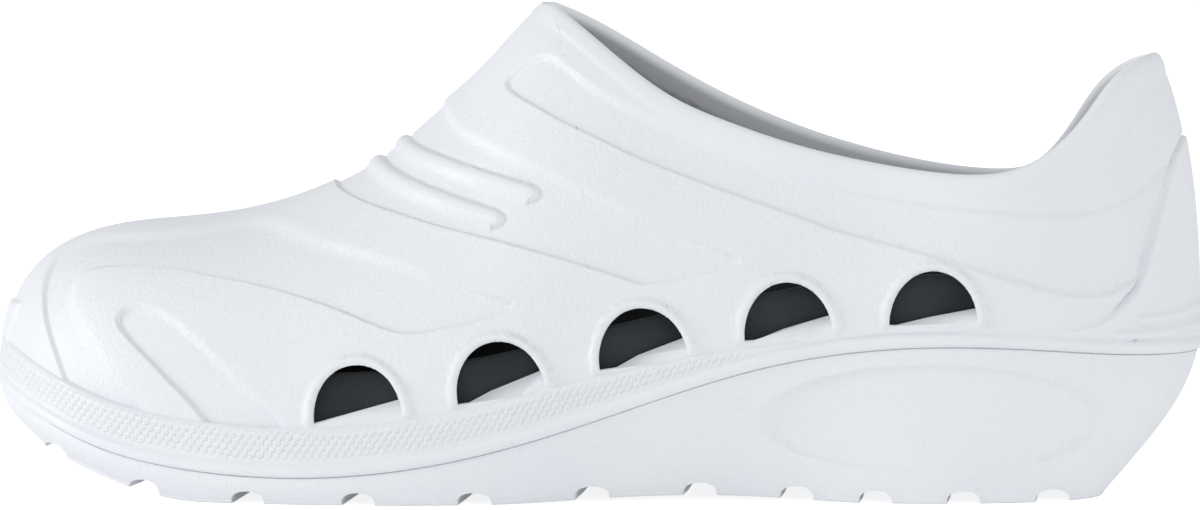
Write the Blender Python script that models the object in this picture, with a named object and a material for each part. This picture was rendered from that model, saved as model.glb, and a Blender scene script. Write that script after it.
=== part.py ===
"""Chef clog, a left shoe in moulded foam: upper, sole and insole. Metres, +Z up.

The toe points along -X, the outer side of the foot along -Y, and the sole stands on z = 0.
Every form is worked out from the sizes below and from short tables whose rows hold shares of them.
"""

import math
from collections import namedtuple

import bmesh
import bpy
import numpy as np

# Driving sizes
LENGTH = 0.285
BALL_WIDTH = 0.106
INSTEP_HEIGHT = 0.1165
HEEL_RIM_HEIGHT = 0.1045
SEAM_RISE = 0.037
WALL = 0.0035
FIT_GAP = 0.0003
BEAD_HEIGHT = 0.0033
BEAD_DEPTH = 0.0012
BAND_HEIGHT = 0.0078
BAND_DEPTH = 0.0007
PANEL_DEPTH = 0.0011
PANEL_EDGE = 0.0016
VENT_WIDTH = 0.0205
VENT_HEIGHT = 0.0125
VENT_REACH = 0.013
SILL_RISE = 0.0036
RIB_RADIUS = 0.0017
INSOLE_THICK = 0.0045
INSOLE_EDGE_THICK = 0.0022
INSOLE_RIM = 0.016
CHANNEL_WIDTH = 0.0077
CHANNEL_DEPTH = 0.0031
CHANNEL_SLANT = math.radians(6)
TREAD_BEVEL = 0.0008
DISH_DEPTH = 0.0016
EDGE_EASE = 0.0005

# Shares that round and sink the forms: sink of a rib in RIB_RADIUS, rise of the collar's rounding in WALL,
# reach of the channels and the place they are measured at in BALL_WIDTH, rounding of a channel's roof in
# CHANNEL_DEPTH, and the two steps of the insole's edge in INSOLE_EDGE_THICK
RIB_SINK = 0.35
COLLAR_ROUNDING = 0.38
CHANNEL_REACH = 0.62
CHANNEL_AIM = 0.42
ROOF_ROUNDING = 0.55
INSOLE_LIP = 1.6
INSOLE_COVE = 4.0

# Grid of the skins
COLUMNS = 51
WALL_ROWS = 12
LINING_ROWS = 8
SOLE_ROWS = [0.0, 0.12, 0.3, 0.5, 0.7, 0.88, 1.0]
CHANNEL_SIDES = 6
VENT_SIDES = 10
RIB_POINTS = 7

# Plan of the seam between upper and sole: share of LENGTH, then shares of BALL_WIDTH on each side
Plan = namedtuple("Plan", "along outer inner")
PLAN = [
    Plan(0.000, -0.040, 0.040),
    Plan(0.012, 0.160, 0.232),
    Plan(0.050, 0.312, 0.362),
    Plan(0.120, 0.424, 0.452),
    Plan(0.220, 0.486, 0.498),
    Plan(0.340, 0.502, 0.494),
    Plan(0.460, 0.474, 0.436),
    Plan(0.590, 0.424, 0.376),
    Plan(0.720, 0.392, 0.358),
    Plan(0.840, 0.370, 0.362),
    Plan(0.920, 0.306, 0.310),
    Plan(0.975, 0.182, 0.190),
    Plan(1.000, -0.002, 0.002),
]

# Height of the seam: share of LENGTH, share of SEAM_RISE
Seam = namedtuple("Seam", "along rise")
SEAM = [
    Seam(0.000, 0.665),
    Seam(0.030, 0.545),
    Seam(0.095, 0.325),
    Seam(0.175, 0.205),
    Seam(0.250, 0.175),
    Seam(0.340, 0.228),
    Seam(0.440, 0.398),
    Seam(0.540, 0.650),
    Seam(0.630, 0.860),
    Seam(0.720, 0.975),
    Seam(0.820, 0.996),
    Seam(0.920, 0.950),
    Seam(1.000, 0.935),
]

# Ridge of the closed last: share of LENGTH, share of INSTEP_HEIGHT, sideways share of BALL_WIDTH
Ridge = namedtuple("Ridge", "along height side")
RIDGE = [
    Ridge(0.000, 0.525, 0.035),
    Ridge(0.080, 0.536, 0.034),
    Ridge(0.160, 0.549, 0.032),
    Ridge(0.220, 0.574, 0.030),
    Ridge(0.270, 0.617, 0.028),
    Ridge(0.320, 0.688, 0.025),
    Ridge(0.365, 0.782, 0.022),
    Ridge(0.400, 0.859, 0.020),
    Ridge(0.440, 0.965, 0.016),
    Ridge(0.480, 1.025, 0.012),
    Ridge(0.560, 1.035, 0.006),
    Ridge(0.700, 1.030, 0.000),
    Ridge(0.850, 1.060, 0.000),
    Ridge(1.000, 1.080, 0.000),
]

# Cross section from seam to ridge: where on the ridge a column ends, and the two handles of its curve
Bow = namedtuple("Bow", "along ridge_at rise reach")
BOW = [
    Bow(0.000, 0.145, 0.74, 0.72),
    Bow(0.050, 0.160, 0.72, 0.70),
    Bow(0.120, 0.190, 0.68, 0.64),
    Bow(0.220, 0.245, 0.62, 0.56),
    Bow(0.330, 0.330, 0.55, 0.48),
    Bow(0.450, 0.422, 0.50, 0.46),
    Bow(0.560, 0.490, 0.52, 0.50),
    Bow(0.660, 0.570, 0.57, 0.53),
    Bow(0.760, 0.680, 0.62, 0.58),
    Bow(0.850, 0.765, 0.70, 0.66),
    Bow(0.940, 0.818, 0.73, 0.71),
    Bow(1.000, 0.838, 0.73, 0.72),
]

# Height of the collar edge on each side, behind its front on the ridge: share of LENGTH, shares of
# HEEL_RIM_HEIGHT
COLLAR_FRONT = 0.452
Collar = namedtuple("Collar", "along outer inner")
COLLAR = [
    Collar(0.480, 1.046, 1.070),
    Collar(0.510, 0.980, 1.026),
    Collar(0.550, 0.901, 0.960),
    Collar(0.600, 0.839, 0.884),
    Collar(0.660, 0.785, 0.811),
    Collar(0.720, 0.748, 0.757),
    Collar(0.790, 0.722, 0.715),
    Collar(0.840, 0.733, 0.703),
    Collar(0.880, 0.793, 0.734),
    Collar(0.905, 0.864, 0.815),
    Collar(0.925, 0.931, 0.905),
    Collar(0.945, 0.973, 0.960),
    Collar(0.965, 0.990, 0.986),
    Collar(1.000, 0.994, 0.994),
]

# Sole wall under the seam: how far mid wall and ground edge stand inside the seam, in shares of BALL_WIDTH
Wall = namedtuple("Wall", "along middle_in ground_in")
SOLE_WALL = [
    Wall(0.000, 0.020, 0.090),
    Wall(0.050, 0.014, 0.075),
    Wall(0.120, 0.006, 0.045),
    Wall(0.200, 0.004, 0.028),
    Wall(0.400, 0.006, 0.034),
    Wall(0.520, 0.024, 0.080),
    Wall(0.620, 0.030, 0.094),
    Wall(0.740, -0.004, 0.046),
    Wall(0.850, 0.000, 0.062),
    Wall(0.940, 0.030, 0.130),
    Wall(1.000, 0.075, 0.235),
]

# Height of the tread over the floor and of the deck inside, in shares of SEAM_RISE
Lift = namedtuple("Lift", "along tread deck")
LIFT = [
    Lift(0.000, 0.330, 0.560),
    Lift(0.035, 0.265, 0.490),
    Lift(0.070, 0.190, 0.435),
    Lift(0.110, 0.090, 0.390),
    Lift(0.150, 0.020, 0.365),
    Lift(0.180, 0.000, 0.355),
    Lift(0.300, 0.000, 0.365),
    Lift(0.400, 0.000, 0.460),
    Lift(0.520, 0.035, 0.680),
    Lift(0.620, 0.035, 0.830),
    Lift(0.720, 0.000, 0.890),
    Lift(0.900, 0.000, 0.890),
    Lift(1.000, 0.000, 0.890),
]

# Vents of one side: middle as a share of LENGTH, sill above the seam in shares of SEAM_RISE, lean of the sill
Vent = namedtuple("Vent", "along above lean")
VENTS = [
    Vent(0.305, 0.345, 0.105),
    Vent(0.421, 0.338, 0.215),
    Vent(0.536, 0.265, 0.190),
    Vent(0.654, 0.165, 0.118),
    Vent(0.772, 0.142, 0.017),
]

# Ribs over the vamp: shares of LENGTH and of INSTEP_HEIGHT, from the ridge down the side
Mark = namedtuple("Mark", "along height")
FRONT_RIB = [
    Mark(0.312, 0.672),
    Mark(0.322, 0.650),
    Mark(0.340, 0.630),
    Mark(0.377, 0.599),
    Mark(0.416, 0.567),
]
BACK_RIB = [
    Mark(0.334, 0.712),
    Mark(0.345, 0.692),
    Mark(0.366, 0.675),
    Mark(0.410, 0.644),
    Mark(0.445, 0.615),
]

# Recessed panels of a side: corners as shares of LENGTH and INSTEP_HEIGHT
TOE_FLAME = [
    Mark(0.066, 0.500),
    Mark(0.085, 0.512),
    Mark(0.119, 0.518),
    Mark(0.152, 0.525),
    Mark(0.185, 0.538),
    Mark(0.215, 0.550),
    Mark(0.240, 0.540),
    Mark(0.265, 0.515),
    Mark(0.326, 0.482),
    Mark(0.395, 0.430),
    Mark(0.436, 0.396),
    Mark(0.403, 0.370),
    Mark(0.346, 0.341),
    Mark(0.305, 0.370),
    Mark(0.256, 0.412),
    Mark(0.189, 0.445),
    Mark(0.122, 0.463),
    Mark(0.085, 0.458),
    Mark(0.070, 0.473),
]
SIDE_FLAME = [
    Mark(0.362, 0.800),
    Mark(0.374, 0.760),
    Mark(0.397, 0.719),
    Mark(0.434, 0.679),
    Mark(0.467, 0.643),
    Mark(0.500, 0.610),
    Mark(0.532, 0.568),
    Mark(0.565, 0.539),
    Mark(0.598, 0.509),
    Mark(0.616, 0.490),
    Mark(0.581, 0.462),
    Mark(0.533, 0.442),
    Mark(0.500, 0.469),
    Mark(0.468, 0.494),
    Mark(0.419, 0.526),
    Mark(0.369, 0.552),
    Mark(0.336, 0.574),
    Mark(0.300, 0.598),
    Mark(0.280, 0.645),
    Mark(0.310, 0.760),
]
COLLAR_FLAME = [
    Mark(0.421, 0.828),
    Mark(0.430, 0.868),
    Mark(0.453, 0.889),
    Mark(0.482, 0.845),
    Mark(0.532, 0.774),
    Mark(0.597, 0.710),
    Mark(0.663, 0.652),
    Mark(0.728, 0.614),
    Mark(0.793, 0.593),
    Mark(0.859, 0.580),
    Mark(0.913, 0.591),
    Mark(0.944, 0.625),
    Mark(0.966, 0.675),
    Mark(0.963, 0.600),
    Mark(0.950, 0.490),
    Mark(0.930, 0.430),
    Mark(0.900, 0.419),
    Mark(0.860, 0.436),
    Mark(0.810, 0.468),
    Mark(0.744, 0.517),
    Mark(0.695, 0.548),
    Mark(0.630, 0.602),
    Mark(0.565, 0.660),
    Mark(0.499, 0.728),
    Mark(0.450, 0.785),
]
TOE_SCOOP = [
    Mark(0.107, 0.353),
    Mark(0.118, 0.384),
    Mark(0.142, 0.376),
    Mark(0.175, 0.313),
    Mark(0.205, 0.245),
    Mark(0.238, 0.165),
    Mark(0.225, 0.140),
    Mark(0.190, 0.140),
    Mark(0.168, 0.202),
    Mark(0.135, 0.278),
]

# Oval dish in the heel side: shares of LENGTH along, shares of SEAM_RISE upwards
DISH_MIDDLE = 0.772
DISH_HALF_LENGTH = 0.137
DISH_HEIGHT = 0.54
DISH_HALF_HEIGHT = 0.34

# Channels across the tread, as shares of LENGTH
CHANNELS = [0.042, 0.128, 0.217, 0.308, 0.401, 0.494, 0.580, 0.659, 0.724, 0.796, 0.868]


def spline(knots, values, period=None):
    """Smooth curve through the values at the knots, closed on itself where a period is given."""
    knots = np.asarray(knots, float)
    values = np.asarray(values, float)
    if period:
        knots = np.append(knots, knots[0] + period)
        values = np.append(values, values[0])
    step = np.diff(knots)
    rate = np.diff(values) / step
    count = len(knots)
    system = np.zeros((count, count))
    target = np.zeros(count)
    for i in range(1, count - 1):
        system[i, i - 1 : i + 2] = (1 / step[i - 1], 2 / step[i - 1] + 2 / step[i], 1 / step[i])
        target[i] = 3 * (rate[i - 1] / step[i - 1] + rate[i] / step[i])
    if period:
        system[0, 0] = 1
        system[0, -1] = -1
        system[-1, [0, 1, -2, -1]] = (2 / step[0], 1 / step[0], 1 / step[-1], 2 / step[-1])
        target[-1] = 3 * (rate[0] / step[0] + rate[-1] / step[-1])
    else:
        system[0, :2] = (2, 1)
        system[-1, -2:] = (1, 2)
        target[0] = 3 * rate[0]
        target[-1] = 3 * rate[-1]
    slope = np.linalg.solve(system, target)

    def read(at):
        at = np.asarray(at, float)
        if period:
            at = knots[0] + np.mod(at - knots[0], period)
        at = np.clip(at, knots[0], knots[-1])
        i = np.clip(np.searchsorted(knots, at, side="right") - 1, 0, count - 2)
        t = (at - knots[i]) / step[i]
        return (
            (1 + 2 * t) * (1 - t) ** 2 * values[i]
            + t * (1 - t) ** 2 * step[i] * slope[i]
            + t * t * (3 - 2 * t) * values[i + 1]
            + t * t * (t - 1) * step[i] * slope[i + 1]
        )

    return read


def turn(along):
    """Angle round the shoe, 0 at the toe and pi at the heel, for a share of the length."""
    return np.arccos(np.clip(1 - 2 * np.asarray(along, float), -1, 1))


def share(angle):
    """Share of the length for an angle round the shoe."""
    return (1 - np.cos(angle)) / 2


def both_sides(rows, outer, inner):
    """Closed curve round the shoe, negative angles on the outer side, from one value for each side."""
    angles = [-float(turn(row.along)) for row in reversed(rows[1:])]
    values = [outer(row) for row in reversed(rows[1:])]
    angles += [float(turn(row.along)) for row in rows[:-1]]
    values += [inner(row) for row in rows[:-1]]
    return spline(angles, values, 2 * math.pi)


def same_sides(rows, value):
    return both_sides(rows, value, value)


def along_spline(rows, value):
    return spline([row.along for row in rows], [value(row) for row in rows])


plan_side = both_sides(PLAN, lambda row: -row.outer * BALL_WIDTH, lambda row: row.inner * BALL_WIDTH)
seam_height = same_sides(SEAM, lambda row: row.rise * SEAM_RISE)
ridge_height = along_spline(RIDGE, lambda row: row.height * INSTEP_HEIGHT)
ridge_side = along_spline(RIDGE, lambda row: row.side * BALL_WIDTH)
ridge_at = same_sides(BOW, lambda row: row.ridge_at * LENGTH)
bow_rise = same_sides(BOW, lambda row: row.rise)
bow_reach = same_sides(BOW, lambda row: row.reach)
ground_inset = same_sides(SOLE_WALL, lambda row: row.ground_in * BALL_WIDTH)
middle_inset = same_sides(SOLE_WALL, lambda row: row.middle_in * BALL_WIDTH)
tread_curve = along_spline(LIFT, lambda row: row.tread * SEAM_RISE)
deck_height = along_spline(LIFT, lambda row: row.deck * SEAM_RISE)


def tread_height(along):
    """Height of the tread over the floor, flat under ball and heel."""
    return np.maximum(tread_curve(along), 0)


def collar_edge(value):
    """Height of the collar edge over its share of the length, from the ridge at its front."""
    knots = [COLLAR_FRONT] + [row.along for row in COLLAR]
    heights = [float(ridge_height(COLLAR_FRONT))] + [value(row) * HEEL_RIM_HEIGHT for row in COLLAR]
    return spline(knots, heights)


collar_outer = collar_edge(lambda row: row.outer)
collar_inner = collar_edge(lambda row: row.inner)


def foot_line(angle):
    """The seam between upper and sole, at an angle round the shoe."""
    return np.stack([share(angle) * LENGTH, plan_side(angle), seam_height(angle)], -1)


def last_point(angle, climb):
    """Point of the closed last: climb is 0 at the seam and 1 on the ridge."""
    foot = foot_line(angle)
    top_x = ridge_at(angle)
    rise = bow_rise(angle)
    reach = bow_reach(angle)
    rest = 1 - climb
    inward = 3 * rest * climb**2 * (1 - reach) + climb**3
    upward = 3 * rest**2 * climb * rise + 3 * rest * climb**2 + climb**3
    x = foot[..., 0] + (top_x - foot[..., 0]) * inward
    y = foot[..., 1] + (ridge_side(top_x / LENGTH) - foot[..., 1]) * inward
    z = foot[..., 2] + (ridge_height(x / LENGTH) - foot[..., 2]) * upward
    return np.stack([x, y, z], -1)


def last_normal(angle, climb):
    """Outward normal of the closed last."""
    small = 1e-3
    low = np.clip(climb - small, 0, 1)
    high = np.clip(climb + small, 0, 1)
    across = last_point(angle + small, climb) - last_point(angle - small, climb)
    up = last_point(angle, high) - last_point(angle, low)
    normal = np.cross(up, across)
    at = last_point(angle, climb)[..., 0] / LENGTH
    slope = (ridge_height(at + small) - ridge_height(at - small)) / (2 * small * LENGTH)
    on_ridge = np.stack([-slope, np.zeros_like(slope), np.ones_like(slope)], -1)
    normal = np.where(np.asarray(climb)[..., None] > 1 - 1e-6, on_ridge, normal)
    return normal / np.linalg.norm(normal, axis=-1, keepdims=True)


def climb_at(angle, height):
    """How far up the last a column reaches a height, 1 where the ridge stays below it."""
    steps = np.linspace(0, 1, 240)
    result = []
    for one, wanted in zip(np.ravel(angle), np.ravel(height)):
        heights = last_point(np.full(steps.shape, one), steps)[:, 2]
        over = np.nonzero(heights >= wanted)[0]
        if len(over) == 0:
            result.append(1.0)
        elif over[0] == 0:
            result.append(0.0)
        else:
            i = over[0]
            part = (wanted - heights[i - 1]) / (heights[i] - heights[i - 1])
            result.append(float(steps[i - 1] + part * (steps[i] - steps[i - 1])))
    return np.array(result).reshape(np.shape(angle))


def collar_climb(angle):
    """How far up the last the collar edge cuts a column, 1 in front of the collar."""
    steps = np.linspace(0, 1, 240)
    result = []
    for one in np.ravel(angle):
        line = last_point(np.full(steps.shape, one), steps)
        edge = collar_outer if one < 0 else collar_inner
        at = line[:, 0] / LENGTH
        above = line[:, 2] - edge(at)
        over = np.nonzero((above > 0) & (at >= COLLAR_FRONT))[0]
        if len(over) == 0 or over[0] == 0:
            result.append(1.0)
            continue
        i = over[0]
        part = np.clip(-above[i - 1] / (above[i] - above[i - 1]), 0, 1)
        result.append(float(steps[i - 1] + part * (steps[i] - steps[i - 1])))
    return np.array(result).reshape(np.shape(angle))


def column_angles():
    """Angles of one side's columns, spread over seam and collar edge, with one at the front of the collar."""
    fine = np.linspace(0, math.pi, 600)
    outer = collar_climb(-fine)
    inner = collar_climb(fine)
    foot = foot_line(-fine)
    top = last_point(-fine, outer)
    steps = np.linalg.norm(np.diff(foot, axis=0), axis=1) + np.linalg.norm(np.diff(top, axis=0), axis=1)
    travelled = np.append(0, np.cumsum(steps))
    even = np.linspace(0, travelled[-1], COLUMNS + 1)
    angles = np.interp(even, travelled, fine)
    whole = np.nonzero((outer >= 1) & (inner >= 1))[0]
    front = fine[whole[-1]]
    nearest = int(np.argmin(np.abs(angles - front)))
    angles[nearest] = front
    return angles, nearest


SIDE_ANGLES, FRONT_COLUMN = column_angles()
ROUND = np.concatenate([-SIDE_ANGLES, SIDE_ANGLES[-2:0:-1]])
ALL_COLUMNS = len(ROUND)
RIM_COLUMNS = range(FRONT_COLUMN, ALL_COLUMNS - FRONT_COLUMN + 1)


def smooth_step(edge_low, edge_high, value):
    part = np.clip((value - edge_low) / (edge_high - edge_low), 0, 1)
    return part * part * (3 - 2 * part)


def outline_of(marks, samples=8):
    """Rounded closed outline through the corners of a panel, in metres from toe and floor."""
    knots = np.arange(len(marks))
    along = spline(knots, [mark.along * LENGTH for mark in marks], len(marks))
    height = spline(knots, [mark.height * INSTEP_HEIGHT for mark in marks], len(marks))
    at = np.arange(len(marks) * samples) / samples
    return np.stack([along(at), height(at)], -1)


def distance_inside(points, outline):
    """Distance to a closed outline, positive inside it."""
    start = outline
    end = np.roll(outline, -1, axis=0)
    run = end - start
    offset = points[:, None, :] - start[None]
    part = np.clip((offset * run).sum(-1) / (run * run).sum(-1), 0, 1)
    nearest = np.linalg.norm(offset - part[..., None] * run, axis=-1).min(1)
    low = points[:, None, 1] < np.maximum(start[:, 1], end[:, 1])
    high = points[:, None, 1] >= np.minimum(start[:, 1], end[:, 1])
    rise = np.where(np.abs(run[:, 1]) < 1e-12, 1e-12, run[:, 1])
    meets = start[:, 0] + (points[:, None, 1] - start[:, 1]) / rise * run[:, 0]
    crossings = (low & high & (points[:, None, 0] < meets)).sum(1)
    return np.where(crossings % 2 == 1, nearest, -nearest)


def band_share(along):
    """The welt band keeps its full height to the waist and runs out before the heel."""
    return 1 - smooth_step(0.42, 0.72, along)


def relief(points, angle):
    """Height of the moulded relief over the closed last."""
    above = points[:, 2] - seam_height(angle)
    bead = np.clip(above / BEAD_HEIGHT, 0, 1)
    height = BEAD_DEPTH * np.sqrt(np.clip(4 * bead * (1 - bead), 0, 1))
    fade = band_share(points[:, 0] / LENGTH)
    top = BEAD_HEIGHT + BAND_HEIGHT * fade
    height = np.maximum(height, BAND_DEPTH * fade * (above > BEAD_HEIGHT) * (above < top + BAND_DEPTH))
    side_view = points[:, [0, 2]]
    for marks in (TOE_FLAME, SIDE_FLAME, COLLAR_FLAME, TOE_SCOOP):
        inside = distance_inside(side_view, outline_of(marks))
        height = height - PANEL_DEPTH * smooth_step(-PANEL_EDGE / 2, PANEL_EDGE / 2, inside)
    return height


def skin_rows():
    """Climb of every column at every row of the outer skin, and at every row of the lining."""
    top = collar_climb(ROUND)
    band = BEAD_HEIGHT + BAND_HEIGHT * band_share(share(ROUND))
    levels = [0, 0.3 * BEAD_HEIGHT, 0.7 * BEAD_HEIGHT, BEAD_HEIGHT, band + BAND_DEPTH / 2, band + BAND_DEPTH * 1.5]
    low = [climb_at(ROUND, seam_height(ROUND) + level) for level in levels]
    outer = low + [low[-1] + (top - low[-1]) * k / WALL_ROWS for k in range(1, WALL_ROWS + 1)]
    lining = [top * (1 - k / LINING_ROWS) ** 1.3 for k in range(LINING_ROWS + 1)]
    return np.array(outer), np.array(lining), top


def new_object(name, mesh, collection, colour=None, roughness=0.5, metallic=0.0):
    thing = bpy.data.objects.new(name, mesh)
    collection.objects.link(thing)
    if colour:
        material = bpy.data.materials.new(name)
        material.use_nodes = True
        principled = material.node_tree.nodes["Principled BSDF"]
        principled.inputs["Base Color"].default_value = (*colour, 1)
        principled.inputs["Roughness"].default_value = roughness
        principled.inputs["Metallic"].default_value = metallic
        mesh.materials.append(material)
    return thing


def mesh_of(name, points, faces):
    mesh = bpy.data.meshes.new(name)
    mesh.from_pydata([tuple(point) for point in points], [], faces)
    mesh.validate()
    tidy = bmesh.new()
    tidy.from_mesh(mesh)
    bmesh.ops.remove_doubles(tidy, verts=tidy.verts, dist=1e-7)
    bmesh.ops.recalc_face_normals(tidy, faces=tidy.faces)
    tidy.to_mesh(mesh)
    tidy.free()
    return mesh


def grid_faces(ids, closed=True):
    """Quads of a grid of vertex numbers, rows first, closed round the shoe."""
    faces = []
    columns = ids.shape[1]
    for row in range(ids.shape[0] - 1):
        for column in range(columns if closed else columns - 1):
            beside = (column + 1) % columns
            quad = [ids[row, column], ids[row, beside], ids[row + 1, beside], ids[row + 1, column]]
            corners = list(dict.fromkeys(int(one) for one in quad))
            if len(corners) > 2:
                faces.append(corners)
    return faces


def share_ridge(ids):
    """On the vamp both sides end in the same point of the ridge."""
    for column in range(1, FRONT_COLUMN + 1):
        ids[ALL_COLUMNS - column] = ids[column]
    return ids


def upper_mesh():
    outer, lining, top = skin_rows()
    points = []
    for climbs in outer:
        base = last_point(ROUND, climbs)
        points.append(base + last_normal(ROUND, climbs) * relief(base, ROUND)[:, None])
    first_lining = len(points)
    for climbs in lining:
        points.append(last_point(ROUND, climbs) - last_normal(ROUND, climbs) * WALL)
    ids = np.arange(len(points) * ALL_COLUMNS).reshape(len(points), ALL_COLUMNS)
    share_ridge(ids[first_lining - 1])
    share_ridge(ids[first_lining])
    points = np.array(points).reshape(-1, 3)
    faces = grid_faces(ids[:first_lining]) + grid_faces(ids[first_lining:])
    faces += grid_faces(np.stack([ids[-1], ids[0]]))
    rim = [column % ALL_COLUMNS for column in RIM_COLUMNS]
    outside = last_point(ROUND, top)
    normal = last_normal(ROUND, top)
    upward = np.cross(normal, np.gradient(outside, axis=0))
    upward /= np.linalg.norm(upward, axis=1, keepdims=True)
    upward *= np.sign(upward[:, 2:3] + 1e-9)
    middle = outside - normal * WALL / 2 + upward * WALL * COLLAR_ROUNDING
    middle_ids = np.arange(len(points), len(points) + ALL_COLUMNS)
    points = np.concatenate([points, middle])
    middle_ids[rim[0]] = middle_ids[rim[-1]] = ids[first_lining - 1, rim[0]]
    loop = np.stack([ids[first_lining - 1, rim], middle_ids[rim], ids[first_lining, rim]])
    loop[1, 0] = loop[1, -1] = loop[0, 0]
    faces += grid_faces(loop, closed=False)
    return mesh_of("upper", points, faces)


def across_faces(ring):
    """Strips across a closed ring of vertex numbers, from each outer column to the same inner column."""
    half = ALL_COLUMNS // 2
    faces = []
    for column in range(half):
        far = (ALL_COLUMNS - column) % ALL_COLUMNS
        strip = [ring[column], ring[column + 1], ring[far - 1], ring[far]]
        corners = list(dict.fromkeys(int(one) for one in strip))
        faces.append(corners)
    return faces


def inset_line(inset, height):
    """Ring a distance inside the seam line, at the heights given."""
    foot = foot_line(ROUND)
    normal = last_normal(ROUND, np.zeros(ALL_COLUMNS))
    normal[:, 2] = 0
    normal /= np.linalg.norm(normal, axis=1, keepdims=True)
    ring = foot - normal * np.broadcast_to(inset, (ALL_COLUMNS,))[:, None]
    ring[:, 2] = height
    return ring


def dish(ring):
    """Depth of the shallow oval dish in the side of the heel."""
    along = (ring[:, 0] / LENGTH - DISH_MIDDLE) / DISH_HALF_LENGTH
    up = (ring[:, 2] - DISH_HEIGHT * SEAM_RISE) / (DISH_HALF_HEIGHT * SEAM_RISE)
    return DISH_DEPTH * (1 - smooth_step(0.75, 1.05, np.hypot(along, up)))


def sole_mesh():
    """Closed from the deck over its edge, the ledge under the upper and the outer wall to the tread."""
    seam = seam_height(ROUND) - FIT_GAP
    inner = inset_line(WALL + FIT_GAP, 0)
    deck = inner.copy()
    deck[:, 2] = deck_height(deck[:, 0] / LENGTH)
    ledge = inner.copy()
    ledge[:, 2] = seam
    rings = [deck, ledge]
    for fall in SOLE_ROWS:
        inset = middle_inset(ROUND) * 4 * fall * (1 - fall) + ground_inset(ROUND) * fall * (2 * fall - 1)
        ring = inset_line(inset, 0)
        ground = tread_height(ring[:, 0] / LENGTH)
        ring[:, 2] = seam + (ground - seam) * fall
        ring = ring + (inset_line(inset + dish(ring), 0) - inset_line(inset, 0))
        rings.append(ring)
    edge = inset_line(ground_inset(ROUND) + TREAD_BEVEL, 0)
    edge[:, 2] = tread_height(edge[:, 0] / LENGTH)
    rings[-1][:, 2] += TREAD_BEVEL
    rings.append(edge)
    ids = np.arange(len(rings) * ALL_COLUMNS).reshape(len(rings), ALL_COLUMNS)
    faces = grid_faces(ids) + across_faces(ids[0]) + across_faces(ids[-1])
    return mesh_of("sole", np.concatenate(rings), faces)


def channel_cutter():
    """One channel across the tread for each row, round at its roof and slanting back towards the middle."""
    reach = BALL_WIDTH * CHANNEL_REACH
    points = []
    faces = []
    for along in CHANNELS:
        sections = []
        for y in (-reach, 0.0, reach):
            shift = (reach - abs(y)) * math.tan(CHANNEL_SLANT)
            middle = along * LENGTH + shift - (reach - BALL_WIDTH * CHANNEL_AIM) * math.tan(CHANNEL_SLANT)
            roof = float(tread_height(middle / LENGTH)) + CHANNEL_DEPTH
            half = CHANNEL_WIDTH / 2
            section = [(middle - half, -SEAM_RISE / 4), (middle + half, -SEAM_RISE / 4)]
            for k in range(CHANNEL_SIDES + 1):
                around = math.pi * k / CHANNEL_SIDES
                lift = CHANNEL_DEPTH * (1 - math.sin(around)) * ROOF_ROUNDING
                section.append((middle + half * math.cos(around), roof - lift))
            sections.append([len(points) + k for k in range(len(section))])
            points += [(x, y, z) for x, z in section]
        count = len(sections[0])
        for near, far in zip(sections, sections[1:]):
            for k in range(count):
                beside = (k + 1) % count
                faces.append([near[k], near[beside], far[beside], far[k]])
        faces += [sections[0], sections[-1]]
    return mesh_of("channels", points, faces)


def lining_ring(height, inset):
    """Ring inside the upper at the heights given, a distance in from the skin of the last."""
    climb = climb_at(ROUND, height)
    ring = last_point(ROUND, climb) - last_normal(ROUND, climb) * inset
    ring[:, 2] = height
    return ring


def insole_mesh():
    """Cupped footbed: flat below, with an edge that climbs the lining."""
    clear = WALL + 2 * FIT_GAP + EDGE_EASE
    start = inset_line(clear, 0)
    base = deck_height(start[:, 0] / LENGTH) + FIT_GAP
    under = inset_line(clear + INSOLE_EDGE_THICK, base)
    low = inset_line(clear, base + INSOLE_EDGE_THICK)
    seat = np.maximum(base, seam_height(ROUND))
    rim = seat + INSOLE_RIM
    rings = [under, low]
    for part in (0.0, 0.5, 1.0):
        height = np.maximum(seat + INSOLE_RIM * part, low[:, 2] + 1e-4)
        rings.append(lining_ring(height, clear))
    rings.append(lining_ring(rim, clear + INSOLE_EDGE_THICK))
    rings.append(lining_ring(seat + INSOLE_THICK + INSOLE_RIM / 3, clear + INSOLE_LIP * INSOLE_EDGE_THICK))
    bed = inset_line(clear + INSOLE_COVE * INSOLE_EDGE_THICK, base + INSOLE_THICK)
    rings.append(bed)
    ids = np.arange(len(rings) * ALL_COLUMNS).reshape(len(rings), ALL_COLUMNS)
    faces = grid_faces(ids) + across_faces(ids[0]) + across_faces(ids[-1])
    return mesh_of("insole", np.concatenate(rings), faces)


def surface_at(x, height, side):
    """Point and normal of the last at a place in the side view, on the outer (-1) or inner (1) side."""
    low, high = 0.02, math.pi - 0.02
    for _ in range(28):
        middle = (low + high) / 2
        angle = np.array([side * middle])
        climb = climb_at(angle, np.array([height]))
        if last_point(angle, climb)[0, 0] < x:
            low = middle
        else:
            high = middle
    return last_point(angle, climb)[0], last_normal(angle, climb)[0]


def vent_frame(vent, side):
    """Middle of a vent's sill on the skin, and its directions along the sill, up the wall and outwards."""
    x = vent.along * LENGTH
    height = float(seam_height(side * turn(vent.along))) + vent.above * SEAM_RISE
    y = surface_at(x, height, side)[0][1]
    sill = np.array([math.cos(vent.lean), 0.0, math.sin(vent.lean)])
    upward = np.array([-math.sin(vent.lean), 0.0, math.cos(vent.lean)])
    return np.array([x, y, height]), sill, upward, np.array([0.0, side, 0.0])


def arch_outline(half, rise, sides):
    """Half-moon over a straight sill, from its front foot to its back foot."""
    return [(-half * math.cos(math.pi * k / sides), rise * math.sin(math.pi * k / sides)) for k in range(sides + 1)]


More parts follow.
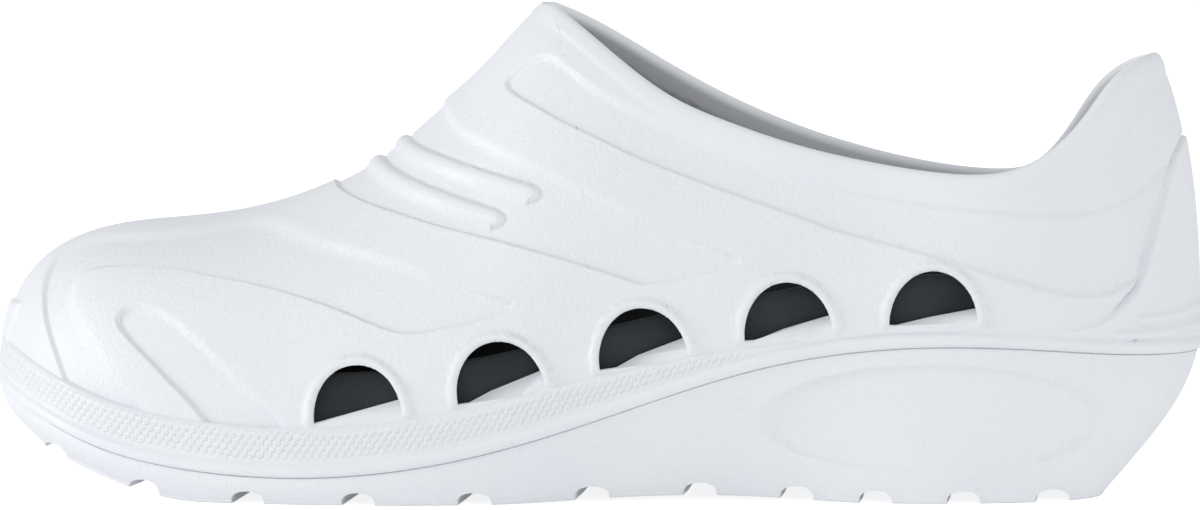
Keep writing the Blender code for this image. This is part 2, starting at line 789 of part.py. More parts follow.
def vent_cutter():
    """A half moon plug for each vent, its sill climbing inwards towards the back foot."""
    points = []
    faces = []
    for vent in VENTS:
        for side in (-1, 1):
            middle, sill, upward, outward = vent_frame(vent, side)
            outline = arch_outline(VENT_WIDTH / 2, VENT_HEIGHT, VENT_SIDES)
            outer_fall = -SILL_RISE * BEAD_DEPTH / WALL
            steps = [(VENT_REACH / 2, outer_fall), (BEAD_DEPTH, outer_fall)]
            steps += [(-WALL, SILL_RISE), (-VENT_REACH, SILL_RISE)]
            loops = []
            for depth, lift in steps:
                loop = []
                for along, rise in outline:
                    to_back = 0.5 + along / VENT_WIDTH
                    up = rise + lift * (1 - rise / VENT_HEIGHT) * to_back
                    loop.append(len(points))
                    points.append(middle + sill * along + upward * up + outward * depth)
                loops.append(loop)
            count = len(outline)
            for near, far in zip(loops, loops[1:]):
                for k in range(count):
                    beside = (k + 1) % count
                    faces.append([near[k], near[beside], far[beside], far[k]])
            faces += [loops[0], loops[-1]]
    return mesh_of("vents", points, faces)


def tube(name, line, radius):
    """Round bead along a line of points, as a mesh with closed ends."""
    curve = bpy.data.curves.new(name, "CURVE")
    curve.dimensions = "3D"
    curve.bevel_depth = radius
    curve.bevel_resolution = 1
    curve.use_fill_caps = True
    path = curve.splines.new("POLY")
    path.points.add(len(line) - 1)
    for point, place in zip(path.points, line):
        point.co = (*place, 1)
    thing = bpy.data.objects.new(name, curve)
    bpy.context.scene.collection.objects.link(thing)
    shaped = thing.evaluated_get(bpy.context.evaluated_depsgraph_get())
    mesh = bpy.data.meshes.new_from_object(shaped)
    tidy = bmesh.new()
    tidy.from_mesh(mesh)
    bmesh.ops.remove_doubles(tidy, verts=tidy.verts, dist=1e-6)
    bmesh.ops.recalc_face_normals(tidy, faces=tidy.faces)
    tidy.to_mesh(mesh)
    tidy.free()
    bpy.data.objects.remove(thing, do_unlink=True)
    return mesh


def rib_line(marks):
    """A rib from its end on the outer side, over the ridge, to its end on the inner side."""
    knots = np.arange(len(marks))
    along = spline(knots, [mark.along * LENGTH for mark in marks])
    height = spline(knots, [mark.height * INSTEP_HEIGHT for mark in marks])
    at = np.linspace(0.6, len(marks) - 1, RIB_POINTS)
    sides = []
    for side in (-1, 1):
        places = [surface_at(float(along(k)), float(height(k)), side) for k in at]
        sides.append([point - normal * RIB_RADIUS * RIB_SINK for point, normal in places])
    x = marks[0].along * LENGTH
    crown = np.array([x, float(ridge_side(x / LENGTH)), float(ridge_height(x / LENGTH)) - RIB_RADIUS * RIB_SINK])
    return sides[0][::-1] + [crown] + sides[1]


def modify(thing, kind, **settings):
    modifier = thing.modifiers.new(kind.title(), kind)
    for name, value in settings.items():
        setattr(modifier, name, value)
    return modifier


def cutter_object(mesh):
    thing = new_object(mesh.name, mesh, cutters)
    thing.hide_render = True
    thing.display_type = "WIRE"
    return thing


def cut(thing, tool, operation="DIFFERENCE", solver="EXACT"):
    modify(thing, "BOOLEAN", object=tool, operation=operation, solver=solver)


for thing in list(bpy.data.objects):
    bpy.data.objects.remove(thing, do_unlink=True)
parts = bpy.data.collections.new("chef_clog")
cutters = bpy.data.collections.new("cutters")
bpy.context.scene.collection.children.link(parts)
bpy.context.scene.collection.children.link(cutters)

upper = new_object("upper", upper_mesh(), parts, (0.80, 0.81, 0.83), 0.5)
for name, marks in (("front_rib", FRONT_RIB), ("back_rib", BACK_RIB)):
    cut(upper, cutter_object(tube(name, rib_line(marks), RIB_RADIUS)), "UNION")
cut(upper, cutter_object(vent_cutter()))

sole = new_object("sole", sole_mesh(), parts, (0.80, 0.81, 0.83), 0.5)
# At some other sizes the exact solver gives an empty sole here
cut(sole, cutter_object(channel_cutter()), solver="MANIFOLD")

insole = new_object("insole", insole_mesh(), parts, (0.06, 0.065, 0.07), 0.7)

# The origin lies under the middle of the shoe's box
plan = np.concatenate([inset_line(-BEAD_DEPTH, 0), inset_line(0, 0)])
middle = (plan.min(0) + plan.max(0)) / 2
for thing in list(parts.objects) + list(cutters.objects):
    thing.location = (-middle[0], -middle[1], 0)
for thing in parts.objects:
    thing.data.shade_smooth()
    thing.data.set_sharp_from_angle(angle=math.radians(40))
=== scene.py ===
# %% [markdown]
# # A chef clog in moulded foam, left shoe
#
# The real shoe is moulded in one shot from a light white foam, over a last, the solid foot shape that
# shoemakers work on. Its upper carries soft recessed flames, two short ribs, five half round vents with a
# raised rim on each side and a woven-looking welt band, and it stands on a thick sole with channels across
# its tread. A dark cupped insole lies inside.
#
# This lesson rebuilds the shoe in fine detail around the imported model, the frame. The frame brings the
# three plain solids, and each is replaced by a detailed piece in the same place and at the same size.

import math
from collections import namedtuple

import bmesh
import bpy
import numpy as np
from mathutils import Matrix, Vector, kdtree


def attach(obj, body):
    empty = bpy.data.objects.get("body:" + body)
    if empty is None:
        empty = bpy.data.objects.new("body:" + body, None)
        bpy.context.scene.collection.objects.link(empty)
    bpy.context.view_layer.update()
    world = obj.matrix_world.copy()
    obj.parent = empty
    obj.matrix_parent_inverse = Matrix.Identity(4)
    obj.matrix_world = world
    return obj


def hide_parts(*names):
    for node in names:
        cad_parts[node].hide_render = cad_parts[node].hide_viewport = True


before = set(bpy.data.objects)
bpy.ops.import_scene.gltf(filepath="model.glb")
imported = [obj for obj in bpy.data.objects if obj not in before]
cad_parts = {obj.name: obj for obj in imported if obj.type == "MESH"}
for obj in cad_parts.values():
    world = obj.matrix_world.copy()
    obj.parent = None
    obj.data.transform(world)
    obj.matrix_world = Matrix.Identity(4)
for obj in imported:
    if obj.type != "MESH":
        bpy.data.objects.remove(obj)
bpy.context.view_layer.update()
bpy.ops.object.select_all(action="DESELECT")

# %% [markdown]
# ## Small helpers
#
# The floor, the sky and every material are made of shader nodes, so making a node and feeding its inputs is
# written once here. So are linking a new object into the scene and starting a material.

# %% Helpers for objects and nodes
def link_object(name, data):
    """A new object with its data, linked into the scene."""
    thing = bpy.data.objects.new(name, data)
    bpy.context.scene.collection.objects.link(thing)
    return thing


def feed(tree, node, feeds):
    """Feed inputs of a node, by name or number, from sockets or from plain values."""
    for name, value in feeds.items():
        if isinstance(value, bpy.types.NodeSocket):
            tree.links.new(value, node.inputs[name])
        else:
            node.inputs[name].default_value = value


def put(tree, kind, feeds=None, **settings):
    """A node of a kind, with its settings first and its inputs after them."""
    node = tree.nodes.new(kind)
    for name, value in settings.items():
        setattr(node, name, value)
    feed(tree, node, feeds or {})
    return node


def new_material(name):
    """A material, its tree and its shader."""
    material = bpy.data.materials.new(name)
    material.use_nodes = True
    return material, material.node_tree, material.node_tree.nodes["Principled BSDF"]


print("helpers:", [helper.__name__ for helper in (link_object, feed, put, new_material)])

# %% [markdown]
# ## The camera
#
# The product picture was taken from the outer side of the shoe, a little above its middle, with a long
# lens, so that the sole is seen almost edge on. A long lens on a camera 1.6 m away gives the same flat
# perspective. The picture also leans by half a degree, so the camera is rolled by that much. The aim and
# the roll are written as one matrix, because that states all three directions of the camera at once.

# %% Place the camera
CAMERA_DISTANCE = 1.6
CAMERA_RISE = math.radians(3.5)
CAMERA_ROLL = math.radians(0.45)
CAMERA_AIM = Vector((0.0, 0.0, 0.0554))
IMAGE_WIDTH = 1200
FOCAL_PIXELS = 6720
SENSOR = 36.0

camera_data = bpy.data.cameras.new("camera")
camera_data.sensor_width = SENSOR
camera_data.lens = SENSOR * FOCAL_PIXELS / IMAGE_WIDTH
camera = link_object("camera", camera_data)
forward = Vector((0.0, math.cos(CAMERA_RISE), -math.sin(CAMERA_RISE)))
level_right = Vector((1.0, 0.0, 0.0))
level_up = level_right.cross(forward)
right = level_right * math.cos(CAMERA_ROLL) + level_up * math.sin(CAMERA_ROLL)
up = level_up * math.cos(CAMERA_ROLL) - level_right * math.sin(CAMERA_ROLL)
place = Matrix((right, up, -forward)).transposed().to_4x4()
place.translation = CAMERA_AIM - forward * CAMERA_DISTANCE
camera.matrix_world = place
bpy.context.scene.camera = camera
print("lens in mm:", round(camera_data.lens, 1), "camera height in m:", round(place.translation.z, 3))

# %% [markdown]
# ## The floor and the light
#
# The picture has a pure white ground and very soft light, with just enough coming from the toe side to draw
# the relief: walls that face the toe are bright, and walls that face the heel are dark. A wide pale floor
# under a white sky gives the soft part, and the sky is stronger near the horizon than overhead. The panel
# of light beyond the toe gives the direction. Two weaker ones fill in the heel side and the top. The floor
# glows more for the camera than for the shoe, so it is white in the picture without washing out the sole.
# The standard view transform keeps the whites white.

# %% Lay the floor and hang the lights
FLOOR_SIZE = 60.0
FLOOR_COLOUR = (0.93, 0.935, 0.94, 1)
FLOOR_GLOW = 0.16
FLOOR_WHITE = 0.7
PANEL_AIM = (0, 0, 0.05)
SKY_LOW_STRENGTH = 0.86
SKY_TOP_STRENGTH = 0.55
SKY_COLOUR = (0.965, 0.98, 1.0)

bpy.ops.mesh.primitive_plane_add(size=FLOOR_SIZE, location=(0, 0, 0))
floor = bpy.context.object
floor.name = "floor"
floor_material, floor_tree, floor_shader = new_material("pale floor")
seen = put(floor_tree, "ShaderNodeLightPath").outputs["Is Camera Ray"]
glow = put(floor_tree, "ShaderNodeMapRange", {"Value": seen, "To Min": FLOOR_GLOW, "To Max": FLOOR_WHITE})
feed(floor_tree, floor_shader, {
    "Base Color": FLOOR_COLOUR,
    "Roughness": 0.9,
    "Specular IOR Level": 0.0,
    "Emission Color": (1.0, 1.0, 1.0, 1),
    "Emission Strength": glow.outputs["Result"],
})
floor.data.materials.append(floor_material)

world = bpy.data.worlds.new("white sky")
world.use_nodes = True
sky_tree = world.node_tree
sky_way = put(sky_tree, "ShaderNodeTexCoord").outputs["Generated"]
rise = put(sky_tree, "ShaderNodeSeparateXYZ", {"Vector": sky_way})
fade = put(sky_tree, "ShaderNodeMapRange", {
    "Value": rise.outputs["Z"], "To Min": SKY_LOW_STRENGTH, "To Max": SKY_TOP_STRENGTH,
})
feed(sky_tree, sky_tree.nodes["Background"], {"Color": (*SKY_COLOUR, 1), "Strength": fade.outputs["Result"]})
bpy.context.scene.world = world
bpy.context.scene.view_settings.view_transform = "Standard"
bpy.context.scene.view_settings.look = "None"


def light_panel(name, place, size, power):
    """A square panel of light that faces the shoe."""
    data = bpy.data.lights.new(name, "AREA")
    data.shape = "SQUARE"
    data.size = size
    data.energy = power
    panel = link_object(name, data)
    panel.location = place
    panel.rotation_euler = (Vector(PANEL_AIM) - Vector(place)).to_track_quat("-Z", "Y").to_euler()


light_panel("toe side panel", (-1.68, -0.5, 0.52), 0.7, 10.5)
light_panel("heel side panel", (1.5, -0.9, 0.5), 0.9, 3.2)
light_panel("top panel", (-0.2, -1.2, 1.4), 1.2, 3.2)

# %% [markdown]
# ## The sizes of the shoe
#
# Every form below is worked out from these sizes, in metres, and from short tables of shares of them. The
# sizes that the solids of the frame also have are the same here, so the detailed pieces land in their
# place.

# %% Name the sizes
LENGTH = 0.285
BALL_WIDTH = 0.106
INSTEP_HEIGHT = 0.1165
HEEL_RIM_HEIGHT = 0.1045
SEAM_RISE = 0.037
WALL = 0.0035
FIT_GAP = 0.0003
BEAD_HEIGHT = 0.0033
BEAD_DEPTH = 0.0012
BAND_HEIGHT = 0.0078
BAND_DEPTH = 0.0007
VENT_WIDTH = 0.0205
VENT_HEIGHT = 0.0125
VENT_REACH = 0.013
SILL_RISE = 0.0036
INSOLE_THICK = 0.0045
INSOLE_EDGE_THICK = 0.0022
INSOLE_RIM = 0.016
CHANNEL_WIDTH = 0.0077
CHANNEL_DEPTH = 0.0031
CHANNEL_SLANT = math.radians(6)
TREAD_BEVEL = 0.0008
DISH_DEPTH = 0.0028
EDGE_EASE = 0.0005
print("length of the last in mm:", LENGTH * 1000)

# %% [markdown]
# ## The tables of the shoe
#
# A last has no simple formula, so its plan, its seam, its ridge and its cross sections are given at about
# a dozen places each, as shares of the sizes. Shares keep the form when a size changes. The same tables
# shape the solids of the frame.

# %% Write the tables
def rows_of(kind, *rows):
    """A table from its rows, each a named tuple of one kind."""
    return [kind(*row) for row in rows]


# Plan of the seam between upper and sole: share of LENGTH, then shares of BALL_WIDTH on each side
Plan = namedtuple("Plan", "along outer inner")
PLAN = rows_of(
    Plan,
    (0.000, -0.040, 0.040), (0.012, 0.160, 0.232), (0.050, 0.312, 0.362), (0.120, 0.424, 0.452),
    (0.220, 0.486, 0.498), (0.340, 0.502, 0.494), (0.460, 0.474, 0.436), (0.590, 0.424, 0.376),
    (0.720, 0.392, 0.358), (0.840, 0.370, 0.362), (0.920, 0.306, 0.310), (0.975, 0.182, 0.190),
    (1.000, -0.002, 0.002),
)

# Height of the seam: share of LENGTH, share of SEAM_RISE
Seam = namedtuple("Seam", "along rise")
SEAM = rows_of(
    Seam,
    (0.000, 0.665), (0.030, 0.545), (0.095, 0.325), (0.175, 0.205), (0.250, 0.175), (0.340, 0.228),
    (0.440, 0.398), (0.540, 0.650), (0.630, 0.860), (0.720, 0.975), (0.820, 0.996), (0.920, 0.950),
    (1.000, 0.935),
)

# Ridge of the closed last: share of LENGTH, share of INSTEP_HEIGHT, sideways share of BALL_WIDTH
Ridge = namedtuple("Ridge", "along height side")
RIDGE = rows_of(
    Ridge,
    (0.000, 0.525, 0.035), (0.080, 0.536, 0.034), (0.160, 0.549, 0.032), (0.220, 0.574, 0.030),
    (0.270, 0.617, 0.028), (0.320, 0.688, 0.025), (0.365, 0.782, 0.022), (0.400, 0.859, 0.020),
    (0.440, 0.965, 0.016), (0.480, 1.025, 0.012), (0.560, 1.035, 0.006), (0.700, 1.030, 0.000),
    (0.850, 1.060, 0.000), (1.000, 1.080, 0.000),
)

# Cross section from seam to ridge: where on the ridge a column ends, and the two handles of its curve
Bow = namedtuple("Bow", "along ridge_at rise reach")
BOW = rows_of(
    Bow,
    (0.000, 0.145, 0.74, 0.72), (0.050, 0.160, 0.72, 0.70), (0.120, 0.190, 0.68, 0.64),
    (0.220, 0.245, 0.62, 0.56), (0.330, 0.330, 0.55, 0.48), (0.450, 0.422, 0.50, 0.46),
    (0.560, 0.490, 0.52, 0.50), (0.660, 0.570, 0.57, 0.53), (0.760, 0.680, 0.62, 0.58),
    (0.850, 0.765, 0.70, 0.66), (0.940, 0.818, 0.73, 0.71), (1.000, 0.838, 0.73, 0.72),
)

# Height of the collar edge on each side, behind its front on the ridge: share of LENGTH, shares of
# HEEL_RIM_HEIGHT
COLLAR_FRONT = 0.452
Collar = namedtuple("Collar", "along outer inner")
COLLAR = rows_of(
    Collar,
    (0.480, 1.046, 1.070), (0.510, 0.980, 1.026), (0.550, 0.901, 0.960), (0.600, 0.839, 0.884),
    (0.660, 0.785, 0.811), (0.720, 0.748, 0.757), (0.790, 0.722, 0.715), (0.840, 0.733, 0.703),
    (0.880, 0.793, 0.734), (0.905, 0.864, 0.815), (0.925, 0.931, 0.905), (0.945, 0.973, 0.960),
    (0.965, 0.990, 0.986), (1.000, 0.994, 0.994),
)

# Sole wall under the seam: how far mid wall and ground edge stand inside the seam, in shares of BALL_WIDTH
Wall = namedtuple("Wall", "along middle_in ground_in")
SOLE_WALL = rows_of(
    Wall,
    (0.000, 0.020, 0.090), (0.050, 0.014, 0.075), (0.120, 0.006, 0.045), (0.200, 0.004, 0.028),
    (0.400, 0.006, 0.034), (0.520, 0.024, 0.080), (0.620, 0.030, 0.094), (0.740, -0.004, 0.046),
    (0.850, 0.000, 0.062), (0.940, 0.030, 0.130), (1.000, 0.075, 0.235),
)

# Height of the tread over the floor and of the deck inside, in shares of SEAM_RISE
Lift = namedtuple("Lift", "along tread deck")
LIFT = rows_of(
    Lift,
    (0.000, 0.330, 0.560), (0.035, 0.265, 0.490), (0.070, 0.190, 0.435), (0.110, 0.090, 0.390),
    (0.150, 0.020, 0.365), (0.180, 0.000, 0.355), (0.300, 0.000, 0.365), (0.400, 0.000, 0.460),
    (0.520, 0.035, 0.680), (0.620, 0.035, 0.830), (0.720, 0.000, 0.890), (0.900, 0.000, 0.890),
    (1.000, 0.000, 0.890),
)

# Vents of one side: middle as a share of LENGTH, sill above the seam in shares of SEAM_RISE, lean of the sill
Vent = namedtuple("Vent", "along above lean")
VENTS = rows_of(
    Vent,
    (0.305, 0.345, 0.105), (0.421, 0.338, 0.215), (0.536, 0.265, 0.190), (0.654, 0.165, 0.118),
    (0.772, 0.142, 0.017),
)

# Oval dish in the heel side: shares of LENGTH along, shares of SEAM_RISE upwards
DISH_MIDDLE = 0.772
DISH_HALF_LENGTH = 0.137
DISH_HEIGHT = 0.54
DISH_HALF_HEIGHT = 0.34

# Channels across the tread, as shares of LENGTH
CHANNELS = [0.042, 0.128, 0.217, 0.308, 0.401, 0.494, 0.580, 0.659, 0.724, 0.796, 0.868]
print("tables:", len(PLAN), len(SEAM), len(RIDGE), len(BOW), len(COLLAR), len(SOLE_WALL), len(LIFT))

# %% [markdown]
# ## A smooth curve through a few values
#
# Each table gives a form at a few places only. A cubic spline passes through all of them and has no corner
# anywhere, which is what a shoemaker gets with a bent batten. Blender's own curves would do for one line,
# but here the same spline has to be read at thousands of places at once, so it is worked out with numpy.

# %% Splines along and round the shoe
def spline(knots, values, period=None):
    """Smooth curve through the values at the knots, closed on itself where a period is given."""
    knots = np.asarray(knots, float)
    values = np.asarray(values, float)
    if period:
        knots = np.append(knots, knots[0] + period)
        values = np.append(values, values[0])
    step = np.diff(knots)
    rate = np.diff(values) / step
    count = len(knots)
    system = np.zeros((count, count))
    target = np.zeros(count)
    for i in range(1, count - 1):
        system[i, i - 1 : i + 2] = (1 / step[i - 1], 2 / step[i - 1] + 2 / step[i], 1 / step[i])
        target[i] = 3 * (rate[i - 1] / step[i - 1] + rate[i] / step[i])
    if period:
        system[0, 0] = 1
        system[0, -1] = -1
        system[-1, [0, 1, -2, -1]] = (2 / step[0], 1 / step[0], 1 / step[-1], 2 / step[-1])
        target[-1] = 3 * (rate[0] / step[0] + rate[-1] / step[-1])
    else:
        system[0, :2] = (2, 1)
        system[-1, -2:] = (1, 2)
        target[0] = 3 * rate[0]
        target[-1] = 3 * rate[-1]
    slope = np.linalg.solve(system, target)

    def read(at):
        at = np.asarray(at, float)
        if period:
            at = knots[0] + np.mod(at - knots[0], period)
        at = np.clip(at, knots[0], knots[-1])
        i = np.clip(np.searchsorted(knots, at, side="right") - 1, 0, count - 2)
        t = (at - knots[i]) / step[i]
        return (
            (1 + 2 * t) * (1 - t) ** 2 * values[i]
            + t * (1 - t) ** 2 * step[i] * slope[i]
            + t * t * (3 - 2 * t) * values[i + 1]
            + t * t * (t - 1) * step[i] * slope[i + 1]
        )

    return read


def turn(along):
    """Angle round the shoe, 0 at the toe and pi at the heel, for a share of the length."""
    return np.arccos(np.clip(1 - 2 * np.asarray(along, float), -1, 1))


def share(angle):
    """Share of the length for an angle round the shoe."""
    return (1 - np.cos(angle)) / 2


def both_sides(rows, outer, inner):
    """Closed curve round the shoe, negative angles on the outer side, from one value for each side."""
    angles = [-float(turn(row.along)) for row in reversed(rows[1:])]
    values = [outer(row) for row in reversed(rows[1:])]
    angles += [float(turn(row.along)) for row in rows[:-1]]
    values += [inner(row) for row in rows[:-1]]
    return spline(angles, values, 2 * math.pi)


def same_sides(rows, value):
    return both_sides(rows, value, value)


def along_spline(rows, value):
    return spline([row.along for row in rows], [value(row) for row in rows])


plan_side = both_sides(PLAN, lambda row: -row.outer * BALL_WIDTH, lambda row: row.inner * BALL_WIDTH)
seam_height = same_sides(SEAM, lambda row: row.rise * SEAM_RISE)
ridge_height = along_spline(RIDGE, lambda row: row.height * INSTEP_HEIGHT)
ridge_side = along_spline(RIDGE, lambda row: row.side * BALL_WIDTH)
ridge_at = same_sides(BOW, lambda row: row.ridge_at * LENGTH)
bow_rise = same_sides(BOW, lambda row: row.rise)
bow_reach = same_sides(BOW, lambda row: row.reach)
ground_inset = same_sides(SOLE_WALL, lambda row: row.ground_in * BALL_WIDTH)
middle_inset = same_sides(SOLE_WALL, lambda row: row.middle_in * BALL_WIDTH)
tread_curve = along_spline(LIFT, lambda row: row.tread * SEAM_RISE)
deck_height = along_spline(LIFT, lambda row: row.deck * SEAM_RISE)


def tread_height(along):
    """Height of the tread over the floor, flat under ball and heel."""
    return np.maximum(tread_curve(along), 0)


def collar_edge(value):
    """Height of the collar edge over its share of the length, from the ridge at its front."""
    knots = [COLLAR_FRONT] + [row.along for row in COLLAR]
    heights = [float(ridge_height(COLLAR_FRONT))] + [value(row) * HEEL_RIM_HEIGHT for row in COLLAR]
    return spline(knots, heights)


collar_outer = collar_edge(lambda row: row.outer)
collar_inner = collar_edge(lambda row: row.inner)

# %% [markdown]
# ## The closed last
#
# The upper follows a last. Round the shoe, each place on the seam sends a curve up to the ridge, and all
# those curves together are one closed skin, without a hole for the foot. The collar edge is only a line on
# that skin where the upper is cut, so the vamp, the sides and the heel all belong to one even surface.

# %% Points and normals of the last
def foot_line(angle):
    """The seam between upper and sole, at an angle round the shoe."""
    return np.stack([share(angle) * LENGTH, plan_side(angle), seam_height(angle)], -1)


def last_point(angle, climb):
    """Point of the closed last: climb is 0 at the seam and 1 on the ridge."""
    foot = foot_line(angle)
    top_x = ridge_at(angle)
    rise = bow_rise(angle)
    reach = bow_reach(angle)
    rest = 1 - climb
    inward = 3 * rest * climb**2 * (1 - reach) + climb**3
    upward = 3 * rest**2 * climb * rise + 3 * rest * climb**2 + climb**3
    x = foot[..., 0] + (top_x - foot[..., 0]) * inward
    y = foot[..., 1] + (ridge_side(top_x / LENGTH) - foot[..., 1]) * inward
    z = foot[..., 2] + (ridge_height(x / LENGTH) - foot[..., 2]) * upward
    return np.stack([x, y, z], -1)


def last_normal(angle, climb):
    """Outward normal of the closed last."""
    small = 1e-3
    low = np.clip(climb - small, 0, 1)
    high = np.clip(climb + small, 0, 1)
    across = last_point(angle + small, climb) - last_point(angle - small, climb)
    up = last_point(angle, high) - last_point(angle, low)
    normal = np.cross(up, across)
    at = last_point(angle, climb)[..., 0] / LENGTH
    slope = (ridge_height(at + small) - ridge_height(at - small)) / (2 * small * LENGTH)
    on_ridge = np.stack([-slope, np.zeros_like(slope), np.ones_like(slope)], -1)
    normal = np.where(np.asarray(climb)[..., None] > 1 - 1e-6, on_ridge, normal)
    return normal / np.linalg.norm(normal, axis=-1, keepdims=True)

# %% [markdown]
# ## Where the collar cuts the last
#
# Two searches follow. One tells how far up the last a column reaches a height, which lays rows along the
# seam. The other tells where a column meets the collar edge, which trims the upper.

# %% Climb to a height and to the collar
def climb_at(angle, height):
    """How far up the last a column reaches a height, 1 where the ridge stays below it."""
    steps = np.linspace(0, 1, 240)
    result = []
    for one, wanted in zip(np.ravel(angle), np.ravel(height)):
        heights = last_point(np.full(steps.shape, one), steps)[:, 2]
        over = np.nonzero(heights >= wanted)[0]
        if len(over) == 0:
            result.append(1.0)
        elif over[0] == 0:
            result.append(0.0)
        else:
            i = over[0]
            part = (wanted - heights[i - 1]) / (heights[i] - heights[i - 1])
            result.append(float(steps[i - 1] + part * (steps[i] - steps[i - 1])))
    return np.array(result).reshape(np.shape(angle))


def collar_climb(angle):
    """How far up the last the collar edge cuts a column, 1 in front of the collar."""
    steps = np.linspace(0, 1, 240)
    result = []
    for one in np.ravel(angle):
        line = last_point(np.full(steps.shape, one), steps)
        edge = collar_outer if one < 0 else collar_inner
        at = line[:, 0] / LENGTH
        above = line[:, 2] - edge(at)
        over = np.nonzero((above > 0) & (at >= COLLAR_FRONT))[0]
        if len(over) == 0 or over[0] == 0:
            result.append(1.0)
            continue
        i = over[0]
        part = np.clip(-above[i - 1] / (above[i] - above[i - 1]), 0, 1)
        result.append(float(steps[i - 1] + part * (steps[i] - steps[i - 1])))
    return np.array(result).reshape(np.shape(angle))

# %% [markdown]
# ## Columns round the shoe
#
# Columns are spread evenly over the seam and the collar edge together, so the cells stay near square at the
# toe and at the heel. Where the collar's front crosses the ridge its edge jumps, so one step counts only up
# to a limit. One column is moved to the front of the collar, where both sides of the vamp meet.

# %% Spread the columns
COLUMNS = 236
STEP_LIMIT = 50


def column_angles():
    """Angles of one side's columns, and which of them ends at the front of the collar."""
    fine = np.linspace(0, math.pi, 1500)
    outer = collar_climb(-fine)
    inner = collar_climb(fine)
    foot = foot_line(-fine)
    top = last_point(-fine, outer)
    top_steps = np.linalg.norm(np.diff(top, axis=0), axis=1)
    top_steps = np.minimum(top_steps, STEP_LIMIT * np.median(top_steps))
    steps = np.linalg.norm(np.diff(foot, axis=0), axis=1) + top_steps
    travelled = np.append(0, np.cumsum(steps))
    even = np.linspace(0, travelled[-1], COLUMNS + 1)
    angles = np.interp(even, travelled, fine)
    whole = np.nonzero((outer >= 1) & (inner >= 1))[0]
    front = fine[whole[-1]]
    nearest = int(np.argmin(np.abs(angles - front)))
    angles[nearest] = front
    return angles, nearest


SIDE_ANGLES, FRONT_COLUMN = column_angles()
ROUND = np.concatenate([-SIDE_ANGLES, SIDE_ANGLES[-2:0:-1]])
ALL_COLUMNS = len(ROUND)
RIM_COLUMNS = np.arange(FRONT_COLUMN, ALL_COLUMNS - FRONT_COLUMN + 1)
TOP_CLIMB = collar_climb(ROUND)
print("columns round the shoe:", ALL_COLUMNS, "of them along the rim:", len(RIM_COLUMNS))

# %% [markdown]
# ## The relief as lines in side view
#
# Both sides of the clog carry the same relief: two flames that run back from the toe and over the instep, a
# long panel under the collar, and a slanting scoop beside the toe. All are recessed by about a millimetre,
# and they differ in how their edges fall: soft and rounded on one side, a tight crease on the other. So
# every mark of an outline has a third value, the width of the edge there in millimetres.

# %% Outlines of the recessed panels
Mark = namedtuple("Mark", "along height soft")
TOE_FLAME = rows_of(
    Mark,
    (0.430, 0.402, 1.0), (0.424, 0.391, 1.0), (0.403, 0.371, 1.1), (0.371, 0.353, 1.0),
    (0.346, 0.343, 0.8), (0.326, 0.351, 0.7), (0.305, 0.370, 0.7), (0.272, 0.399, 0.7),
    (0.223, 0.431, 0.7), (0.189, 0.445, 0.7), (0.156, 0.458, 0.7), (0.122, 0.463, 0.8),
    (0.095, 0.461, 1.1), (0.078, 0.452, 1.8), (0.068, 0.430, 2.6), (0.066, 0.385, 3.0),
    (0.080, 0.323, 3.0), (0.097, 0.256, 3.0), (0.115, 0.209, 2.6), (0.134, 0.160, 2.4),
    (0.120, 0.130, 1.6), (0.080, 0.150, 1.0), (0.067, 0.205, 0.7), (0.059, 0.254, 0.7),
    (0.051, 0.302, 0.7), (0.044, 0.350, 0.7), (0.041, 0.400, 0.8), (0.044, 0.450, 1.0),
    (0.058, 0.487, 1.4), (0.085, 0.511, 1.6), (0.119, 0.518, 1.6), (0.152, 0.525, 1.7),
    (0.185, 0.538, 1.9), (0.212, 0.549, 2.3), (0.232, 0.545, 2.6), (0.256, 0.524, 2.6),
    (0.289, 0.503, 2.4), (0.326, 0.481, 2.0), (0.364, 0.450, 1.5), (0.395, 0.430, 1.2),
    (0.420, 0.411, 1.0),
)
SIDE_FLAME = rows_of(
    Mark,
    (0.352, 0.840, 2.2), (0.374, 0.760, 2.2), (0.397, 0.719, 2.4), (0.418, 0.695, 2.4),
    (0.434, 0.679, 2.4), (0.467, 0.643, 1.9), (0.500, 0.607, 1.5), (0.532, 0.571, 1.3),
    (0.565, 0.539, 1.2), (0.598, 0.509, 1.0), (0.613, 0.493, 0.9), (0.606, 0.479, 1.0),
    (0.581, 0.462, 1.2), (0.553, 0.447, 1.2), (0.533, 0.443, 1.0), (0.520, 0.453, 0.8),
    (0.468, 0.492, 0.7), (0.419, 0.524, 0.7), (0.369, 0.552, 0.7), (0.336, 0.574, 0.7),
    (0.310, 0.591, 0.7), (0.289, 0.610, 0.7), (0.274, 0.650, 0.8), (0.280, 0.760, 1.0),
    (0.310, 0.850, 1.6),
)
